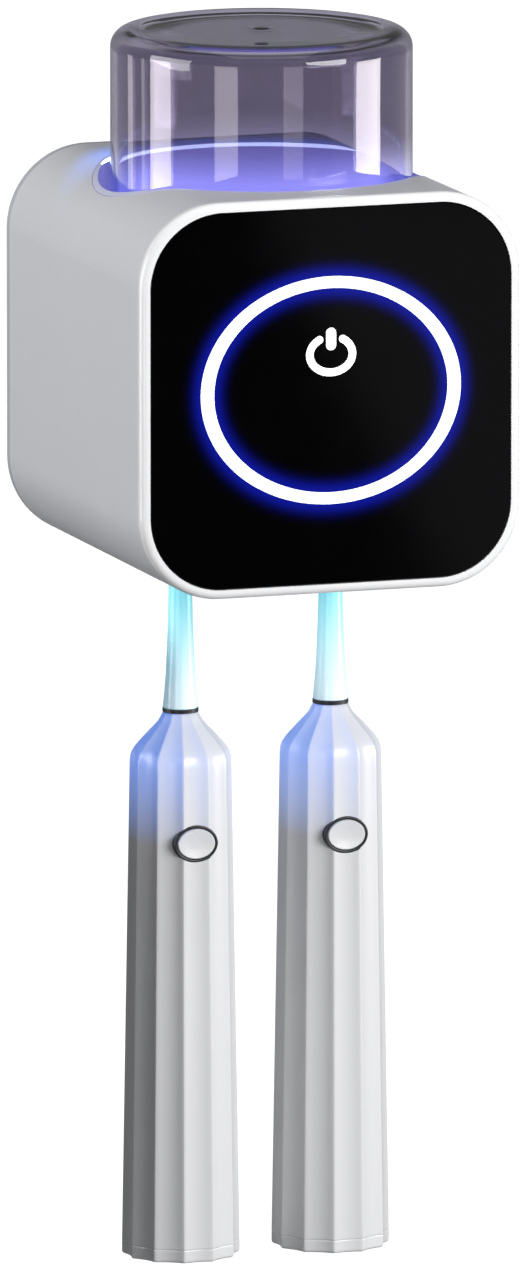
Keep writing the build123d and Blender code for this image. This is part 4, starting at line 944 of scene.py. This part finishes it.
    def button(self, side, white, black):
        """Dark oval ring with a rounded lip, and the shallow dished button inside it."""
        low, high, centre = box_and_middle(f"button_ring_{side}")
        rx, rz = (high.x - low.x) / 2, (high.z - low.z) / 2
        button_low, button_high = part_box(f"button_{side}")
        gap = rx - (button_high.x - button_low.x) / 2
        band = 0.68 * gap
        front = low.y + 0.7 * MM
        stations = [
            (rx - band, rz - band, high.y), (rx, rz, high.y), (rx, rz, front + 0.2 * MM),
            (rx - 0.1 * MM, rz - 0.1 * MM, front + 0.05 * MM),
            (rx - 0.3 * MM, rz - 0.3 * MM, front),
            (rx - band + 0.15 * MM, rz - band + 0.15 * MM, front + 0.03 * MM),
            (rx - band, rz - band, front + 0.2 * MM),
        ]
        self.oval_stack(f"button_ring_{side}", black, "ring_black", centre, stations,
                        f"brush_{side}", closed=True)
        # the button is grown to fill the ring
        grown = gap - band - 0.08 * MM
        front = button_low.y + 0.6 * MM
        rx = (button_high.x - button_low.x) / 2 + grown
        rz = (button_high.z - button_low.z) / 2 + grown
        stations = [
            (rx, rz, button_high.y), (rx, rz, front + 0.5 * MM),
            (rx - 0.08 * MM, rz - 0.08 * MM, front + 0.2 * MM),
            (rx - 0.3 * MM, rz - 0.3 * MM, front), (rx * 0.78, rz * 0.78, front + 0.08 * MM),
            (rx * 0.5, rz * 0.5, front + 0.28 * MM), (rx * 0.2, rz * 0.2, front + 0.38 * MM),
        ]
        self.oval_stack(f"button_{side}", white, "brush_white", centre, stations,
                        f"button_{side}")

    def oval_stack(self, node, material, slot, centre, stations, body, closed=False):
        """Piece that stands for a CAD node, from ovals of (half width, half height, depth)."""
        bm = bmesh.new()
        skin(bm, [ring_loop(bm, oval_points(centre.x, y, centre.z, rx, rz, 72))
                  for rx, rz, y in stations], closed)
        crisp(new_piece(f"{node}_fine", bm, material, body, node), 45)


class SANITIZER_OT_heads(bpy.types.Operator):
    """Makes the slim brush heads and their bristles"""
    bl_idname = "sanitizer.heads"
    bl_label = "Brush heads"

    def execute(self, context):
        colours, sizes = settings()
        neck = self.neck_material(colours)
        nylon = self.nylon_material()
        for side in SIDES:
            self.head(side, neck)
            self.bristles(side, nylon, sizes.filaments)
        return {"FINISHED"}

    def neck_material(self, colours):
        material = plastic("neck_lit", (0.80, 0.86, 0.90), 0.25, 0.01, 0.03)
        tree = material.node_tree
        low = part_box("brush_head_left")[0].z
        height = split(tree, coordinates(material)["Object"])["Z"]
        # painted light: the white neck's colour turns cyan towards the top and it glows, most at
        # the top, for the chamber light coming down it
        fade = smooth_range(tree, height, low - 4 * MM, low + 36 * MM)
        tint = mix_colour(tree, fade, (0.90, 0.95, 0.97), (0.38, 0.82, 0.88))
        link(tree, tint, tree.nodes["Principled BSDF"].inputs["Base Color"])
        glow(material, fade, (0.22, 0.42, 0.52), tuple(colours.neck_glow), 0.56)
        return material

    def nylon_material(self):
        material = plastic("nylon_white", (0.80, 0.84, 0.90), 0.4, 0.08, 0.05, 4000.0, 0.02)
        # painted light: the white filaments glow faintly blue
        emission(material, (0.35, 0.6, 0.95), 0.12)
        return material

    def head(self, side, material):
        """Round neck with a bore for the shaft, which blends into a flat head plate."""
        low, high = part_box(f"brush_head_{side}")
        ring = box_and_middle(f"head_ring_{side}")[2]
        x, y = ring.x, ring.y
        half_width, back, front = 5.6 * MM, 2.0 * MM, 2.2 * MM
        neck, neck_depth = 2.95 * MM, 2.9 * MM
        steps = 40
        bm = bmesh.new()

        def outline(z, rx, ry_back, ry_front, power):
            """Rounded outline; a power of 1 is an oval and a lower one is squarer."""
            points = []
            for i in range(steps):
                t = math.tau * i / steps
                c, s = math.cos(t), math.sin(t)
                px = rx * math.copysign(abs(c) ** power, c)
                py = (ry_back if s > 0 else ry_front) * math.copysign(abs(s) ** power, s)
                points.append(Vector((x + px, y + py, z)))
            return ring_loop(bm, points)

        stations = [(low.z, 4.55), (low.z + 0.25 * MM, 4.7), (low.z + 4 * MM, 4.3),
                    (-0.083, 3.9), (-0.075, 3.55), (-0.068, 3.3), (-0.055, 3.0), (-0.047, 2.95)]
        loops = [outline(z, r * MM, r * MM, r * MM, 1.0) for z, r in stations]
        for z, share in ((-0.0435, 0.1), (-0.0412, 0.35), (-0.0395, 0.62), (-0.0375, 0.84)):
            loops.append(outline(z, neck + (half_width - neck) * share ** 1.2,
                                 neck_depth + (back - neck_depth) * share,
                                 neck_depth + (front - neck_depth) * share, 1.0 - 0.35 * share))
        for z in (-0.0350, -0.0320, -0.0270, -0.0225):
            loops.append(outline(z, half_width, back, front, 0.6))
        # the plate ends in a half round
        for i in range(1, 8):
            turn = math.radians(11.25 * i)
            thin = 1.0 - 0.25 * math.sin(turn) ** 3
            loops.append(outline(high.z - half_width + half_width * math.sin(turn),
                                 half_width * math.cos(turn), back * thin, front * thin, 0.62))
        bore = [ring_loop(bm, circle_points(x, y, z, 1.9 * MM, steps))
                for z in (low.z + 20 * MM, low.z)]
        bridge_all(bm, bore + loops)
        bm.faces.new(bore[0])
        fan(bm, bm.verts.new((x, y, high.z)), loops[-1])
        piece = new_piece(f"brush_neck_{side}", bm, material, f"head_{side}",
                          f"brush_head_{side}")
        crisp(piece, 60)

    def bristles(self, side, material, count):
        """Tufts of single filaments, whose tips rise and fall in a wave."""
        low, high, centre = box_and_middle(f"bristles_{side}")
        head_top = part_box(f"brush_head_{side}")[1].z
        rng = Random(f"bristles {side}")
        # depth of each row below the top of the head, and its number of tufts
        rows = [(3.0, 3), (5.4, 4), (7.8, 5), (10.2, 4), (12.6, 5), (15.0, 4), (17.4, 5),
                (19.8, 4), (22.0, 3)]
        pitch, tuft_radius, golden_angle = 1.9 * MM, 0.62 * MM, 2.39996
        bm = bmesh.new()
        for row, (below, tufts) in enumerate(rows):
            wave = 0.9 * MM * (0.5 - 0.5 * math.cos(math.tau * row / 4))
            z = head_top - below * MM
            for i in range(tufts):
                x = centre.x + (i - (tufts - 1) / 2) * pitch
                for k in range(count):
                    turn = k * golden_angle
                    spread = tuft_radius * math.sqrt((k + 0.5) / count)
                    end = low.y + wave + rng.uniform(0.0, 0.35 * MM)
                    wide = spread * (1.0 + rng.uniform(0.0, 0.25))
                    c, s = math.cos(turn), math.sin(turn)
                    self.filament(bm, (x + spread * c, high.y, z + spread * s),
                                  (x + wide * c, end, z + wide * s), 0.105 * MM)
        new_piece(f"brush_bristles_{side}", bm, material, f"head_{side}",
                  f"bristles_{side}")

    def filament(self, bm, start, end, radius):
        """Thin rod with five sides and a rounded tip."""
        loops = []
        for share, swell in ((0.0, 1.0), (0.5, 1.0), (0.94, 0.95), (1.0, 0.45)):
            x, y, z = (a + (b - a) * share for a, b in zip(start, end))
            loops.append(ring_loop(bm, oval_points(x, y, z, radius * swell, radius * swell, 5)))
        skin(bm, loops)


class SANITIZER_OT_inside(bpy.types.Operator):
    """Finishes the boards, cells and coils inside"""
    bl_idname = "sanitizer.inside"
    bl_label = "Inner parts"

    def execute(self, context):
        dress(plastic("board_green", (0.012, 0.10, 0.035), 0.35, 0.1, 0.1, 700.0, 0.1),
              "front_board", "cup_uv_board", "chamber_uv_board", "main_board", "brush_board_left",
              "brush_board_right")
        dress(plastic("lamp_yellow", (0.85, 0.75, 0.35), 0.3, 0.05, 0.05), "front_leds",
              "cup_uv_leds", "chamber_uv_leds")
        dress(plastic("chip_black", (0.02, 0.02, 0.022), 0.5, 0.05, 0.1), "main_board_parts")
        dress(plastic("carrier_black", (0.03, 0.03, 0.032), 0.55, 0.05, 0.1), "panel_carrier",
              "battery_holder")
        dress(plastic("cell_wrap", (0.03, 0.12, 0.36), 0.25, 0.06, 0.05), "battery_cell",
              "brush_battery_left", "brush_battery_right")
        dress(plastic("coil_copper", (0.78, 0.38, 0.20), 0.3, 0.15, 0.1, 2200.0, 0.5, Metallic=1.0),
              "charge_coil_left", "charge_coil_right")
        dress(plastic("pad_foam", (0.74, 0.74, 0.72), 0.9, 0.08, 0.05, 1500.0, 0.6), "adhesive_pad")
        return {"FINISHED"}


class SANITIZER_PT_panel(bpy.types.Panel):
    """Lists the sanitizer's operators and settings"""
    bl_idname = "SANITIZER_PT_panel"
    bl_label = "Toothbrush sanitizer"
    bl_space_type = "VIEW_3D"
    bl_region_type = "UI"
    bl_category = "Sanitizer"

    def draw(self, context):
        for operator in OPERATORS:
            self.layout.operator(operator.bl_idname)
        for group in (context.scene.sanitizer_colours, context.scene.sanitizer_sizes):
            for name in group.__annotations__:
                self.layout.prop(group, name)


OPERATORS = (
    SANITIZER_OT_stage, SANITIZER_OT_housing, SANITIZER_OT_front, SANITIZER_OT_cup,
    SANITIZER_OT_well, SANITIZER_OT_chamber, SANITIZER_OT_handles, SANITIZER_OT_heads,
    SANITIZER_OT_inside,
)
CLASSES = (SanitizerColours, SanitizerSizes, *OPERATORS, SANITIZER_PT_panel)


def register():
    for cls in CLASSES:
        bpy.utils.register_class(cls)
    bpy.types.Scene.sanitizer_colours = bpy.props.PointerProperty(type=SanitizerColours)
    bpy.types.Scene.sanitizer_sizes = bpy.props.PointerProperty(type=SanitizerSizes)


def unregister():
    del bpy.types.Scene.sanitizer_sizes
    del bpy.types.Scene.sanitizer_colours
    for cls in reversed(CLASSES):
        bpy.utils.unregister_class(cls)


def main():
    register()
    bpy.ops.sanitizer.stage()
    bpy.ops.sanitizer.housing()
    bpy.ops.sanitizer.front()
    bpy.ops.sanitizer.cup()
    bpy.ops.sanitizer.well()
    bpy.ops.sanitizer.chamber()
    bpy.ops.sanitizer.handles()
    bpy.ops.sanitizer.heads()
    bpy.ops.sanitizer.inside()


if __name__ == "__main__":
    main()
